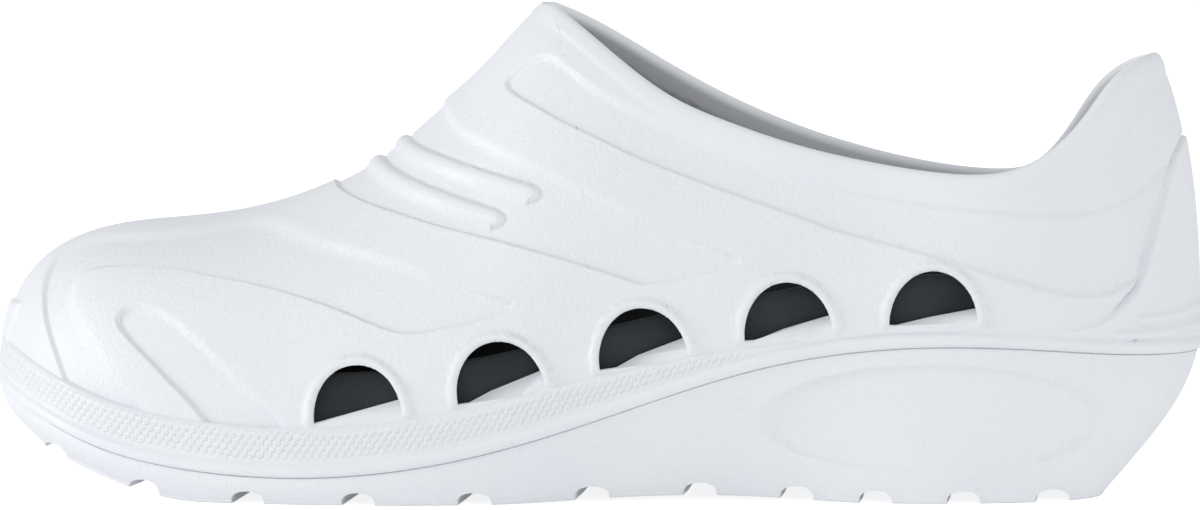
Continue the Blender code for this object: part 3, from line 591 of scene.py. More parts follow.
COLLAR_FLAME = rows_of(
    Mark,
    (0.422, 0.826, 0.8), (0.428, 0.855, 0.8), (0.442, 0.880, 1.0), (0.455, 0.887, 1.4),
    (0.468, 0.871, 1.8), (0.482, 0.845, 2.0), (0.499, 0.817, 2.0), (0.532, 0.776, 2.0),
    (0.565, 0.743, 2.0), (0.597, 0.710, 2.0), (0.630, 0.679, 2.0), (0.663, 0.652, 2.0),
    (0.695, 0.631, 1.9), (0.728, 0.614, 1.8), (0.760, 0.602, 1.7), (0.793, 0.593, 1.6),
    (0.826, 0.586, 1.5), (0.859, 0.581, 1.4), (0.892, 0.581, 1.4), (0.915, 0.592, 1.4),
    (0.936, 0.613, 1.4), (0.954, 0.642, 1.3), (0.968, 0.676, 1.0), (0.966, 0.645, 0.8),
    (0.958, 0.570, 0.8), (0.951, 0.510, 0.8), (0.944, 0.460, 0.9), (0.931, 0.436, 1.2),
    (0.915, 0.422, 1.4), (0.898, 0.419, 1.4), (0.876, 0.426, 1.4), (0.843, 0.447, 1.3),
    (0.810, 0.471, 1.2), (0.777, 0.495, 1.1), (0.744, 0.517, 1.0), (0.695, 0.548, 0.9),
    (0.663, 0.575, 0.9), (0.597, 0.631, 0.9), (0.532, 0.690, 0.8), (0.499, 0.727, 0.8),
    (0.466, 0.764, 0.8), (0.440, 0.798, 0.8),
)
TOE_SCOOP = rows_of(
    Mark,
    (0.106, 0.352, 0.7), (0.108, 0.372, 0.9), (0.118, 0.384, 1.3), (0.133, 0.381, 1.6),
    (0.150, 0.362, 1.6), (0.175, 0.313, 1.5), (0.200, 0.257, 1.4), (0.221, 0.208, 1.3),
    (0.243, 0.155, 1.2), (0.230, 0.115, 1.0), (0.200, 0.115, 0.8), (0.183, 0.155, 0.7),
    (0.168, 0.200, 0.7), (0.151, 0.240, 0.7), (0.135, 0.278, 0.7), (0.117, 0.319, 0.7),
)
PANEL_DEPTH = 0.0011
SCOOP_DEPTH = 0.0013

# %% [markdown]
# The back of the heel has its own raised strip. Its front edge is a groove that comes down beside the long
# panel and turns forward over the bead. Two short ribs run round the heel, and two more cross the instep,
# where a foot bends. The smooth parts of the shoe, without the fine grain, are bounded by one more outline.

# %% Lines of the heel, the ribs and the smooth toe
HEEL_EDGE = rows_of(
    Mark,
    (0.986, 0.735, 0.9), (0.974, 0.689, 0.9), (0.968, 0.646, 0.9), (0.961, 0.587, 1.0),
    (0.954, 0.528, 1.0), (0.948, 0.478, 1.1), (0.942, 0.439, 1.1), (0.933, 0.413, 1.2),
    (0.922, 0.386, 1.2), (0.910, 0.367, 1.2), (0.893, 0.354, 1.2), (0.868, 0.346, 1.3),
    (0.827, 0.345, 1.3), (0.790, 0.343, 1.3),
)
HEEL_RIBS = [
    rows_of(
        Mark,
        (0.943, 0.368, 1), (0.961, 0.371, 1), (0.985, 0.380, 1), (1.000, 0.389, 1), (1.03, 0.392, 1),
    ),
    rows_of(
        Mark,
        (0.924, 0.338, 1), (0.954, 0.340, 1), (0.982, 0.346, 1), (1.000, 0.354, 1), (1.03, 0.356, 1),
    ),
]
INSTEP_RIBS = [
    rows_of(
        Mark,
        (0.286, 0.760, 1), (0.300, 0.700, 1), (0.312, 0.668, 1), (0.322, 0.651, 1), (0.337, 0.633, 1),
        (0.356, 0.616, 1), (0.377, 0.599, 1), (0.402, 0.580, 1), (0.413, 0.571, 1),
    ),
    rows_of(
        Mark,
        (0.312, 0.790, 1), (0.323, 0.735, 1), (0.334, 0.708, 1), (0.345, 0.693, 1), (0.364, 0.677, 1),
        (0.389, 0.658, 1), (0.410, 0.643, 1), (0.434, 0.627, 1), (0.442, 0.621, 1),
    ),
]
SMOOTH_TOE = rows_of(
    Mark,
    (-0.050, 0.150, 4), (0.066, 0.190, 3), (0.044, 0.350, 3), (0.041, 0.420, 3), (0.060, 0.490, 3),
    (0.120, 0.518, 4), (0.185, 0.540, 5), (0.230, 0.552, 6), (0.300, 0.585, 8), (0.330, 0.700, 9),
    (0.420, 0.860, 9), (0.430, 1.300, 9), (-0.050, 1.300, 9),
)
RIB_HALF = 0.0019
RIB_HEIGHT = 0.00125
RIB_SKIRT = 0.0034
HEEL_RIB_HALF = 0.0014
HEEL_RIB_HEIGHT = 0.0010
VENT_RIM_WIDTH = 0.0023
VENT_RIM_HEIGHT = 0.0010
RIM_ROLL = 0.0037
RIM_ROLL_HEIGHT = 0.00045
BUMPER_HALF = 0.014
BUMPER_TOP = 0.0438
BUMPER_DEPTH = 0.0009


def closed_line(marks, samples=9):
    """Rounded closed outline through marks: x, z and edge width, in metres."""
    count = len(marks)
    knots = np.arange(count)
    at = np.arange(count * samples) / samples
    along = spline(knots, [mark.along * LENGTH for mark in marks], count)(at)
    height = spline(knots, [mark.height * INSTEP_HEIGHT for mark in marks], count)(at)
    soft = np.interp(at, np.arange(count + 1), [mark.soft * 0.001 for mark in marks + marks[:1]])
    return np.stack([along, height, soft], -1)


def open_line(marks, samples=9):
    """Rounded open line through marks, in the same units."""
    knots = np.arange(len(marks))
    at = np.linspace(0, len(marks) - 1, (len(marks) - 1) * samples + 1)
    along = spline(knots, [mark.along * LENGTH for mark in marks])(at)
    height = spline(knots, [mark.height * INSTEP_HEIGHT for mark in marks])(at)
    soft = np.interp(at, knots, [mark.soft * 0.001 for mark in marks])
    return np.stack([along, height, soft], -1)


PANELS = [(closed_line(marks), PANEL_DEPTH) for marks in (TOE_FLAME, SIDE_FLAME, COLLAR_FLAME)]
PANELS.append((closed_line(TOE_SCOOP), SCOOP_DEPTH))
HEEL_LINE = open_line(HEEL_EDGE)
HEEL_RIB_LINES = [open_line(marks) for marks in HEEL_RIBS]
INSTEP_RIB_LINES = [open_line(marks) for marks in INSTEP_RIBS]
SMOOTH_LINE = closed_line(SMOOTH_TOE, 2)
print("points in the panel outlines:", sum(len(line) for line, depth in PANELS))

# %% [markdown]
# ## Measuring from a line
#
# The height of the relief at a point depends on how far the point lies from each line in side view. The
# next functions measure that distance for many points at once, tell on which side of an open line a point
# lies, and tell whether it is inside a closed one.

# %% Distances to the lines
NEAR = 0.008


def measure(points, line, closed):
    """Distance to a line, its edge width there, and the side: positive inside or to the left."""
    start = line if closed else line[:-1]
    end = np.roll(line, -1, axis=0) if closed else line[1:]
    run = (end - start)[:, :2]
    gap = np.full(len(points), NEAR)
    soft = np.full(len(points), 0.001)
    side = np.full(len(points), -1.0)
    past_end = np.zeros(len(points))
    box_low = line[:, :2].min(0) - NEAR
    box_high = line[:, :2].max(0) + NEAR
    chosen = np.nonzero(((points > box_low) & (points < box_high)).all(1))[0]
    for block in np.array_split(chosen, len(chosen) // 4000 + 1):
        if len(block) == 0:
            continue
        offset = points[block, None, :] - start[None, :, :2]
        part = np.clip((offset * run).sum(-1) / (run * run).sum(-1), 0, 1)
        away = offset - part[..., None] * run
        length = np.sqrt((away * away).sum(-1))
        best = length.argmin(1)
        rows = np.arange(len(block))
        gap[block] = length[rows, best]
        soft[block] = start[best, 2] + part[rows, best] * (end[best, 2] - start[best, 2])
        cross = run[best, 0] * away[rows, best, 1] - run[best, 1] * away[rows, best, 0]
        side[block] = np.where(cross > 0, 1.0, -1.0)
        if closed:
            low = points[block, None, 1] < np.maximum(start[:, 1], end[:, 1])
            high = points[block, None, 1] >= np.minimum(start[:, 1], end[:, 1])
            rise = np.where(np.abs(run[:, 1]) < 1e-12, 1e-12, run[:, 1])
            meets = start[:, 0] + (points[block, None, 1] - start[:, 1]) / rise * run[:, 0]
            odd = (low & high & (points[block, None, 0] < meets)).sum(1) % 2
            side[block] = np.where(odd == 1, 1.0, -1.0)
        last = len(start) - 1
        past_end[block] = ((best == last) & (part[rows, best] >= 1)) | ((best == 0) & (part[rows, best] <= 0))
    return gap, soft, side, past_end


def smooth_step(edge_low, edge_high, value):
    part = np.clip((value - edge_low) / (edge_high - edge_low), 0, 1)
    return part * part * (3 - 2 * part)


def band_share(along):
    """The welt band keeps its full height to the waist and runs out before the heel."""
    return 1 - smooth_step(0.42, 0.72, along)


def band_top(angle):
    """Height of the upper edge of the welt band over the seam."""
    return BEAD_HEIGHT + BAND_HEIGHT * band_share(share(angle))

# %% [markdown]
# ## Frames of the vents
#
# The mould's side cores are pulled out straight sideways, so each vent is drawn in side view: along its
# sill, up the wall and outwards. The raised rim is drawn in that frame, and later the hole is cut in the
# same frame, so the two always agree.

# %% Place the vents
def surface_at(x, height, side):
    """Point and normal of the last at a place in the side view, on the outer (-1) or inner (1) side."""
    low, high = 0.02, math.pi - 0.02
    for _ in range(26):
        middle = (low + high) / 2
        angle = np.array([side * middle])
        climb = climb_at(angle, np.array([height]))
        if last_point(angle, climb)[0, 0] < x:
            low = middle
        else:
            high = middle
    return last_point(angle, climb)[0], last_normal(angle, climb)[0]


def vent_frame(vent, side):
    """Middle of a vent's sill on the skin, and its directions along the sill, up the wall and outwards."""
    x = vent.along * LENGTH
    height = float(seam_height(side * turn(vent.along))) + vent.above * SEAM_RISE
    point, _ = surface_at(x, height, side)
    sill = np.array([math.cos(vent.lean), 0.0, math.sin(vent.lean)])
    upward = np.array([-math.sin(vent.lean), 0.0, math.cos(vent.lean)])
    return np.array([x, point[1], height]), sill, upward, np.array([0.0, side, 0.0])


VENT_FRAMES = [(vent_frame(vent, side), side) for vent in VENTS for side in (-1, 1)]
print("vents:", len(VENT_FRAMES))


def vent_distance(points, frame_of_vent):
    """Distance outside a vent's edge, measured in the vent's own frame."""
    middle, sill, upward, _ = frame_of_vent
    offset = points - middle
    along = offset @ sill
    rise = offset @ upward
    half = VENT_WIDTH / 2
    ratio = np.hypot(along / half, np.maximum(rise, 0) / VENT_HEIGHT)
    reach = np.hypot(along, np.maximum(rise, 0))
    arch = reach * (1 - 1 / np.maximum(ratio, 1e-6))
    return arch, rise

# %% [markdown]
# ## The height of the relief
#
# One function adds up the whole relief over the smooth last: the bead over the seam, the welt band, the
# recessed panels, the ribs, the vent rims, the heel strip and its groove, the toe bumper and the rolled
# collar edge. It also tells how fine the mesh has to be at each point, which is finest in the tight
# creases.

# %% Add up the relief
COARSE = 0.0030
FINE = 0.00055
EDGE_CELLS = 2.4
GROWTH = 0.9
BAND_STEP = 0.0006
SKIRT_SHARE = 0.55
RIB_CREASE_DEPTH = 0.0004
RIB_CREASE_WIDTH = 0.0005
RIB_CREASE_OFFSET = 0.0004
VENT_CALM = VENT_RIM_WIDTH * 1.6
VENT_FOOT = 0.0015
HEEL_STRIP_FROM = 0.94 * LENGTH
HEEL_BACK_FROM = 0.975 * LENGTH
HEEL_BACK_TOP = 0.70 * INSTEP_HEIGHT
HEEL_GROOVE_DEPTH = 0.0014
HEEL_GROOVE_SHARE = 0.42
BUMPER_EDGE = 0.0008
BEAD_CREASE_DEPTH = 0.0003
BEAD_CREASE_WIDTH = 0.0004


def finer(wish, size, gap, reach):
    """The wish with a finer size within reach of a line, growing away from it."""
    return np.minimum(wish, size + np.maximum(gap - reach, 0) * GROWTH)


def relief(points, angle, rim_gap):
    """Height over the last, wished size of the mesh and share of grain, for points of the last."""
    side_view = points[:, [0, 2]]
    above = points[:, 2] - seam_height(angle)
    top = band_top(angle)
    wish = np.full(len(points), COARSE)
    over_band = smooth_step(0.0, BAND_STEP, above - top)

    panels = np.zeros(len(points))
    for line, depth in PANELS:
        gap, soft, side, _ = measure(side_view, line, True)
        half = soft / 2
        panels = np.maximum(panels, depth * smooth_step(-half, half, gap * side))
        wish = finer(wish, soft / EDGE_CELLS, gap, half)
    height = -panels * over_band

    for line in INSTEP_RIB_LINES:
        gap, _, side, past_end = measure(side_view, line, False)
        across = np.where(past_end > 0, gap, gap * side)
        body = np.sqrt(np.clip(1 - (across / RIB_HALF) ** 2, 0, 1)) * RIB_HEIGHT
        skirt = RIB_HEIGHT * SKIRT_SHARE * smooth_step(-RIB_SKIRT, -RIB_HALF * 0.3, across)
        skirt = skirt * (across < 0) * (past_end == 0)
        off_crease = (across - RIB_HALF - RIB_CREASE_OFFSET) / RIB_CREASE_WIDTH
        crease = RIB_CREASE_DEPTH * np.exp(-(off_crease**2))
        height = height + np.maximum(body, skirt) - crease
        wish = finer(wish, FINE, gap, 0.003)

    for vent, side_of_vent in VENT_FRAMES:
        beyond, rise = vent_distance(points, vent)
        ring = (beyond - VENT_RIM_WIDTH / 2) / (VENT_RIM_WIDTH / 2)
        bead = VENT_RIM_HEIGHT * np.sqrt(np.clip(1 - ring * ring, 0, 1))
        bead = bead * smooth_step(-VENT_FOOT, 0.0008, rise)
        near_side = np.sign(angle) == side_of_vent
        flat = smooth_step(0.0, VENT_CALM, beyond) * near_side
        still = near_side & (rise > -VENT_FOOT)
        height = np.where(near_side & (beyond < VENT_CALM), height * flat, height)
        height = np.where(still & (np.abs(ring) < 1), np.maximum(height, bead), height)
        wish = np.where(still, np.minimum(wish, FINE + np.abs(ring * VENT_RIM_WIDTH / 2) * 0.35), wish)

    gap, soft, side, _ = measure(side_view, HEEL_LINE, False)
    behind = np.where(points[:, 0] > HEEL_STRIP_FROM, gap * side, np.where(gap < NEAR, gap * side, -NEAR))
    deep_inside = (side_view[:, 0] > HEEL_BACK_FROM) & (side_view[:, 1] < HEEL_BACK_TOP)
    behind = np.where(deep_inside, np.maximum(behind, NEAR * 0.5), behind)
    height = height + BAND_DEPTH * smooth_step(-soft / 2, soft / 2, behind)
    groove = HEEL_GROOVE_DEPTH * np.exp(-((gap / (soft * HEEL_GROOVE_SHARE)) ** 2))
    height = height - groove * smooth_step(0.34, 0.42, side_view[:, 1] / INSTEP_HEIGHT)
    wish = finer(wish, soft / EDGE_CELLS, gap, soft / 2)

    for line in HEEL_RIB_LINES:
        gap = measure(side_view, line, False)[0]
        height = height + np.clip(1 - (gap / HEEL_RIB_HALF) ** 2, 0, 1) * HEEL_RIB_HEIGHT
        wish = finer(wish, FINE, gap, 0.002)

    front = np.minimum(BUMPER_HALF - np.abs(points[:, 1]), BUMPER_TOP - points[:, 2])
    at_toe = points[:, 0] < 0.1 * LENGTH
    height = height + BUMPER_DEPTH * smooth_step(-BUMPER_EDGE, BUMPER_EDGE, front) * at_toe * over_band
    wish = np.where(at_toe, finer(wish, 0.0005, np.abs(front), 0.0005), wish)

    height = height + RIM_ROLL_HEIGHT * (1 - smooth_step(RIM_ROLL * 0.62, RIM_ROLL, rim_gap))
    wish = finer(wish, 0.0011, rim_gap, RIM_ROLL)

    band = BAND_DEPTH * smooth_step(0, 0.0005, top + 0.0005 - above)
    band = band * np.clip(band_share(share(angle)) * 8, 0, 1)
    height = np.where(above < top + BAND_STEP, np.maximum(height, band), height)
    part = np.clip(above / BEAD_HEIGHT, 0, 1)
    bead = BEAD_DEPTH * np.sqrt(np.clip(4 * part * (1 - part), 0, 1))
    height = np.where(part < 1, np.maximum(height, bead), height)
    height = np.where(part < 0.5, bead, height)
    height = height - BEAD_CREASE_DEPTH * np.exp(-(((above - BEAD_HEIGHT) / BEAD_CREASE_WIDTH) ** 2))

    gap, soft, side, _ = measure(side_view, SMOOTH_LINE, True)
    smooth_toe = smooth_step(-soft / 2, soft / 2, gap * side)
    grain = (1 - smooth_toe) * smooth_step(RIM_ROLL * 0.6, RIM_ROLL * 2.2, rim_gap)
    grain = grain * (1 - smooth_step(-0.001, 0.001, behind)) * over_band
    return height, wish, grain

# %% [markdown]
# ## The outer skin: a flat net, refined and then wrapped
#
# The skin is first laid out flat: across it runs the angle round the shoe, and up it runs the climb from
# the seam to the collar. A plain net of cells is too coarse for the creases and too fine for the calm
# areas. So the flat net is subdivided only where its wrapped edges are longer than the relief wishes, in
# three rounds. Then each point is wrapped on the last and lifted by the relief. Edges on the rim and on the
# seam stay whole, so the lining can join them. Rows follow the mean of their neighbours' tops and reach the
# true collar edge only near it, because crowded columns would show as dark dashes at the front of the
# collar.

# %% Lay out the flat net
SKIN_ROWS = 58
CALM_REACH = 9
LOW_LEVELS = [0, 0.05, 0.16, 0.32, 0.5, 0.68, 0.84, 0.95, 1.0]
LEAST_BAND = 0.0012
BAND_EDGE_LEVELS = [0, 0.0002, 0.0004, 0.0007, 0.0012]


def lay_rows():
    """Climb of every column at every row of the outer skin."""
    seam = seam_height(ROUND)
    band = np.maximum(band_top(ROUND), BEAD_HEIGHT + LEAST_BAND)
    levels = [part * BEAD_HEIGHT for part in LOW_LEVELS]
    levels += [BEAD_HEIGHT + (band - BEAD_HEIGHT) * part for part in (0.25, 0.5, 0.75)]
    levels += [band + lift for lift in BAND_EDGE_LEVELS]
    low = [climb_at(ROUND, seam + level) for level in levels]
    near = (np.arange(ALL_COLUMNS)[:, None] + np.arange(-CALM_REACH, CALM_REACH + 1)) % ALL_COLUMNS
    calm_top = TOP_CLIMB[near].mean(1)
    high = []
    for k in range(1, SKIN_ROWS + 1):
        part = k / SKIN_ROWS
        calm = low[-1] + (calm_top - low[-1]) * part
        high.append(calm + (TOP_CLIMB - calm_top) * smooth_step(0.55, 1.0, part))
    return np.array(low + high)


def grid_faces(ids, closed=True):
    """Quads of a grid of vertex numbers, rows first, closed round the shoe."""
    near, far = (ids, np.roll(ids, -1, axis=1)) if closed else (ids[:, :-1], ids[:, 1:])
    quads = np.stack([near[:-1], far[:-1], far[1:], near[1:]], -1)
    return quads.reshape(-1, 4).tolist()


climbs = lay_rows()
unrolled = np.where(ROUND > 0, ROUND - 2 * math.pi, ROUND)
wide_angles = np.append(unrolled, -2 * math.pi)
wide_climbs = np.hstack([climbs, climbs[:, :1]])
net_points = np.stack(np.broadcast_arrays(wide_angles, wide_climbs, 0.0), -1)
net_ids = np.arange(net_points[..., 0].size).reshape(wide_climbs.shape)
net_mesh = bpy.data.meshes.new("flat net")
net_mesh.from_pydata(net_points.reshape(-1, 3).tolist(), [], grid_faces(net_ids, closed=False))
net = bmesh.new()
net.from_mesh(net_mesh)
print("cells of the plain net:", len(net.faces))

# %% Refine the net and wrap it
REFINE_ROUNDS = 3
REFINE_SLACK = 1.35
RIM_LINE = last_point(ROUND[RIM_COLUMNS % ALL_COLUMNS], TOP_CLIMB[RIM_COLUMNS % ALL_COLUMNS])


def rim_distance(points):
    """Distance of each point to the collar edge."""
    gap = np.empty(len(points))
    for block in np.array_split(np.arange(len(points)), len(points) // 4000 + 1):
        gap[block] = np.linalg.norm(points[block, None] - RIM_LINE[None], axis=-1).min(1)
    return gap


def read_net(net):
    """Angle, climb, point, relief, wish and grain of every vertex of the flat net."""
    flat = np.array([vertex.co[:2] for vertex in net.verts])
    angle = np.mod(flat[:, 0] + math.pi, 2 * math.pi) - math.pi
    climb = np.clip(flat[:, 1], 0, 1)
    points = last_point(angle, climb)
    height, wish, grain = relief(points, angle, rim_distance(points))
    return angle, climb, points, height, wish, grain


rim_spots = {int(net_ids[-1, column]) for column in RIM_COLUMNS}
net.verts.ensure_lookup_table()
on_rim = net.verts.layers.int.new("rim")
for one in rim_spots:
    net.verts[one][on_rim] = 1
for round_number in range(REFINE_ROUNDS):
    net.verts.index_update()
    angle, climb, points, height, wish, grain = read_net(net)
    pairs = np.array([[edge.verts[0].index, edge.verts[1].index] for edge in net.edges])
    rim_flag = np.array([vertex[on_rim] for vertex in net.verts])
    length = np.linalg.norm(points[pairs[:, 0]] - points[pairs[:, 1]], axis=1)
    wanted = np.minimum(wish[pairs[:, 0]], wish[pairs[:, 1]]) * REFINE_SLACK
    at_rim = (rim_flag[pairs[:, 0]] == 1) & (rim_flag[pairs[:, 1]] == 1)
    at_seam = (climb[pairs[:, 0]] < 1e-6) & (climb[pairs[:, 1]] < 1e-6)
    split = (length > wanted) & ~at_rim & ~at_seam
    edges = [edge for edge, chosen in zip(net.edges, split) if chosen]
    bmesh.ops.subdivide_edges(net, edges=edges, cuts=1, use_grid_fill=True, use_single_edge=True)
    # A new point copies the mark of its neighbours, so it is taken off again
    for vertex in net.verts:
        if vertex.index == -1 or vertex.index >= len(angle):
            vertex[on_rim] = 0
    print("round", round_number + 1, "edges split:", len(edges), "cells now:", len(net.faces))

net.verts.index_update()
angle, climb, points, height, wish, grain = read_net(net)
skin_points = points + last_normal(angle, climb) * height[:, None]
skin_faces = [[vertex.index for vertex in face.verts] for face in net.faces]
net.free()
bpy.data.meshes.remove(net_mesh)
print("outer skin, points and cells:", len(skin_points), len(skin_faces))

# %% [markdown]
# ## Lining, rolled edge and ledge
#
# The wall of the upper is one thickness everywhere, so the lining is the same last, moved inwards. A half
# round strip joins both along the collar, which is the soft edge a foot slides over. Below, a flat ledge
# joins them again, and rests on the sole. All parts share their edge points, so merging doubles closes the
# shell.

# %% Close the shell of the upper
LINING_ROWS = 22
LINING_CROWDING = 1.3
CAP_STEPS = 8


def mesh_of(name, points, faces, merge=1e-6):
    """A mesh object's data from points and faces, merged and with its faces outwards."""
    mesh = bpy.data.meshes.new(name)
    mesh.from_pydata(np.asarray(points).tolist(), [], faces)
    tidy = bmesh.new()
    tidy.from_mesh(mesh)
    bmesh.ops.remove_doubles(tidy, verts=tidy.verts, dist=merge)
    bmesh.ops.dissolve_degenerate(tidy, edges=tidy.edges, dist=merge)
    bmesh.ops.recalc_face_normals(tidy, faces=tidy.faces)
    tidy.to_mesh(mesh)
    tidy.free()
    return mesh


lining_parts = [(1 - k / LINING_ROWS) ** LINING_CROWDING for k in range(LINING_ROWS + 1)]
lining_climbs = [TOP_CLIMB * part for part in lining_parts]
lining = np.array([last_point(ROUND, one) - last_normal(ROUND, one) * WALL for one in lining_climbs])

rim_ids = RIM_COLUMNS % ALL_COLUMNS
rim_angles = ROUND[rim_ids]
rim_points = last_point(rim_angles, TOP_CLIMB[rim_ids])
rim_heights = relief(rim_points, rim_angles, np.zeros(len(rim_points)))[0]
rim_outer = rim_points + last_normal(rim_angles, TOP_CLIMB[rim_ids]) * rim_heights[:, None]
rim_inner = lining[0, rim_ids]
rim_middle = (rim_outer + rim_inner) / 2
rim_half = (rim_outer - rim_inner) / 2
loop = rim_middle[:-1]
forward_along = np.roll(loop, -1, axis=0) - np.roll(loop, 1, axis=0)
forward_along = np.vstack([forward_along, forward_along[:1]])
rim_up = np.cross(rim_half, forward_along)
rim_up /= np.linalg.norm(rim_up, axis=1, keepdims=True)
rim_up *= np.sign(rim_up[:, 2:3] + 1e-9)
rim_up *= np.linalg.norm(rim_half, axis=1, keepdims=True)
turns = [math.pi * k / CAP_STEPS for k in range(CAP_STEPS + 1)]
cap = np.array([rim_middle + rim_half * math.cos(one) + rim_up * math.sin(one) for one in turns])
cap[0] = rim_outer
cap[-1] = rim_inner

ledge = np.stack([foot_line(ROUND), lining[-1]])


def stack_parts(parts):
    """Join (points, faces) pairs into one list of points and one of faces."""
    points = []
    faces = []
    for part_points, part_faces in parts:
        start = len(points)
        points += np.asarray(part_points).reshape(-1, 3).tolist()
        faces += [[start + one for one in face] for face in part_faces]
    return points, faces


def sheet_faces(grid, closed):
    return grid_faces(np.arange(grid.shape[0] * grid.shape[1]).reshape(grid.shape[:2]), closed)


shell_points, shell_faces = stack_parts(
    [
        (skin_points, skin_faces),
        (lining, sheet_faces(lining, True)),
        (cap, sheet_faces(cap, False)),
        (ledge, sheet_faces(ledge, True)),
    ]
)
upper_mesh = mesh_of("upper_foam", shell_points, shell_faces, 4e-6)
shift = np.array([-LENGTH / 2, 0.0, 0.0])
upper_mesh.transform(Matrix.Translation(shift))
upper = link_object("upper_foam", upper_mesh)


def open_edges(mesh):
    """How many edges don't join exactly two faces."""
    look = bmesh.new()
    look.from_mesh(mesh)
    count = sum(1 for edge in look.edges if len(edge.link_faces) != 2)
    look.free()
    return count


print("shell of the upper, faces:", len(upper_mesh.polygons), "open edges:", open_edges(upper_mesh))

# %% [markdown]
# ## Cutting the vents
#
# Each vent is a half moon over a sill, cut through the wall. The sill climbs inwards towards its back foot,
# so it is seen as a bright wedge behind the rim. The cutter is four half moons joined into a plug, in the
# vent's own frame, and one Boolean modifier takes all ten plugs out of the shell. The plugs carry the
# second material slot, so the faces they leave behind can be told apart and stay free of the painted shade
# that darkens the lining.

# %% Cut the vents
VENT_SIDES = 40


def plug_loops(frame_of_vent):
    """Four half moons of a vent's plug, from outside the wall to the inside of the shoe."""
    middle, sill, upward, outward = frame_of_vent
    outer_fall = -SILL_RISE * BEAD_DEPTH / WALL
    steps = [(VENT_REACH / 2, outer_fall), (BEAD_DEPTH, outer_fall)]
    steps += [(-WALL, SILL_RISE), (-VENT_REACH, SILL_RISE)]
    loops = []
    for depth, lift in steps:
        loop = []
        for k in range(VENT_SIDES + 1):
            turned = math.pi * k / VENT_SIDES
            rise = VENT_HEIGHT * math.sin(turned)
            along = -VENT_WIDTH / 2 * math.cos(turned)
            to_back = 0.5 + along / VENT_WIDTH
            raised = rise + lift * (1 - rise / VENT_HEIGHT) * to_back
            loop.append(middle + sill * along + upward * raised + outward * depth)
        loops.append(loop)
    return np.array(loops)


def lofts(name, all_loops):
    """An object of closed lofts, each with both its ends, one for each set of loops."""
    parts = []
    for loops in all_loops:
        count = loops.shape[1]
        last = (len(loops) - 1) * count
        ends = [list(range(count)), list(range(last, last + count))]
        parts.append((loops, sheet_faces(loops, True) + ends))
    points, faces = stack_parts(parts)
    return link_object(name, mesh_of(name, np.array(points) + shift, faces))


plugs = lofts("vent_plugs", [plug_loops(vent) for vent, _ in VENT_FRAMES])


def apply_cut(target, tool):
    """Take the tool out of the target with an exact Boolean, then remove the tool."""
    cut = target.modifiers.new("cut", "BOOLEAN")
    cut.operation = "DIFFERENCE"
    cut.solver = "EXACT"
    cut.object = tool
    bpy.ops.object.select_all(action="DESELECT")
    bpy.context.view_layer.objects.active = target
    bpy.ops.object.modifier_apply(modifier=cut.name)
    bpy.data.objects.remove(tool, do_unlink=True)


for thing in (upper, plugs):
    thing.data.materials.append(None)
    thing.data.materials.append(None)
plugs.data.polygons.foreach_set("material_index", [1] * len(plugs.data.polygons))
apply_cut(upper, plugs)
in_tunnel = [face.material_index == 1 for face in upper.data.polygons]
upper.data.polygons.foreach_set("material_index", [0] * len(in_tunnel))
print("faces of the vents:", sum(in_tunnel))
print("upper after the vents, faces:", len(upper.data.polygons), "open edges:", open_edges(upper.data))


def triangles(mesh):
    return sum(len(face.vertices) - 2 for face in mesh.polygons)


print("triangles of the upper:", triangles(upper.data))

# %% [markdown]
# ## Writing what the finish needs on the mesh
#
# The finish of the foam changes over the shoe: grain on the sides, none on the toe cap and the rolled edge,
# pebbles and painted shade, a dark grey for the shade inside the shoe, on the lining under its white lip,
# and a weave on the welt band. Each is a number at every point, kept as an attribute, and one more number
# marks the faces of the vents. The cut made new points, so the numbers are written last, from the nearest
# point of the skin.

# %% Write the attributes of the upper
LINING_REACH = 0.0005
LIP_WIDTH = 0.003


def lookup_tree(points):
    tree = kdtree.KDTree(len(points))
    for k, point in enumerate(points):
        tree.insert(point, k)
    tree.balance()
    return tree


def write_attribute(mesh, name, values, domain="POINT"):
    """A number at every point or face of a mesh, for its material."""
    layer = mesh.attributes.new(name, "FLOAT", domain)
    layer.data.foreach_set("value", np.asarray(values, dtype=np.float32))


seam_angles = np.linspace(-math.pi, math.pi, 2001)
seam_steps = np.linalg.norm(np.diff(foot_line(seam_angles), axis=0), axis=1)
seam_travel = np.append(0, np.cumsum(seam_steps))
skin_run = np.interp(angle, seam_angles, seam_travel)
skin_rise = points[:, 2] - seam_height(angle)
band_fade = np.clip(band_share(share(angle)) * 3, 0, 1)
skin_weave = band_fade * smooth_step(0.0, 0.0007, skin_rise - BEAD_HEIGHT * 1.02)
skin_weave = skin_weave * smooth_step(0.0, 0.0006, band_top(angle) - 0.0002 - skin_rise)

skin_tree = lookup_tree(skin_points + shift)
lining_tree = lookup_tree((lining + shift).reshape(-1, 3))
# Pebbles and painted shade on the lining: 0 near its white lip, 1 further down, where the shade inside the
# shoe is painted into the colour
lip_gap = np.linalg.norm(lining.reshape(-1, 1, 3) - rim_inner[None, ::2], axis=-1).min(1)
lining_pebbles_and_shade = smooth_step(LIP_WIDTH, LIP_WIDTH * 1.3, lip_gap)
columns_of_values = {"grain": [], "pebbles_and_painted_shade": [], "run": [], "rise": [], "weave": []}
for vertex in upper.data.vertices:
    _, on_skin, skin_gap = skin_tree.find(vertex.co)
    _, on_lining, lining_gap = lining_tree.find(vertex.co)
    is_skin = skin_gap < LINING_REACH
    is_lining = lining_gap < LINING_REACH and not is_skin
    numbers = (
        grain[on_skin] if is_skin else 0,
        lining_pebbles_and_shade[on_lining] if is_lining else 0,
        skin_run[on_skin],
        skin_rise[on_skin],
        skin_weave[on_skin] if is_skin else 0,
    )
    for values, number in zip(columns_of_values.values(), numbers):
        values.append(number)
for name, values in columns_of_values.items():
    write_attribute(upper.data, name, values)
write_attribute(upper.data, "tunnel", in_tunnel, "FACE")
upper.data.shade_smooth()
upper.data.set_sharp_from_angle(angle=math.radians(62))
print("upper points with grain:", sum(1 for one in columns_of_values["grain"] if one > 0.5))

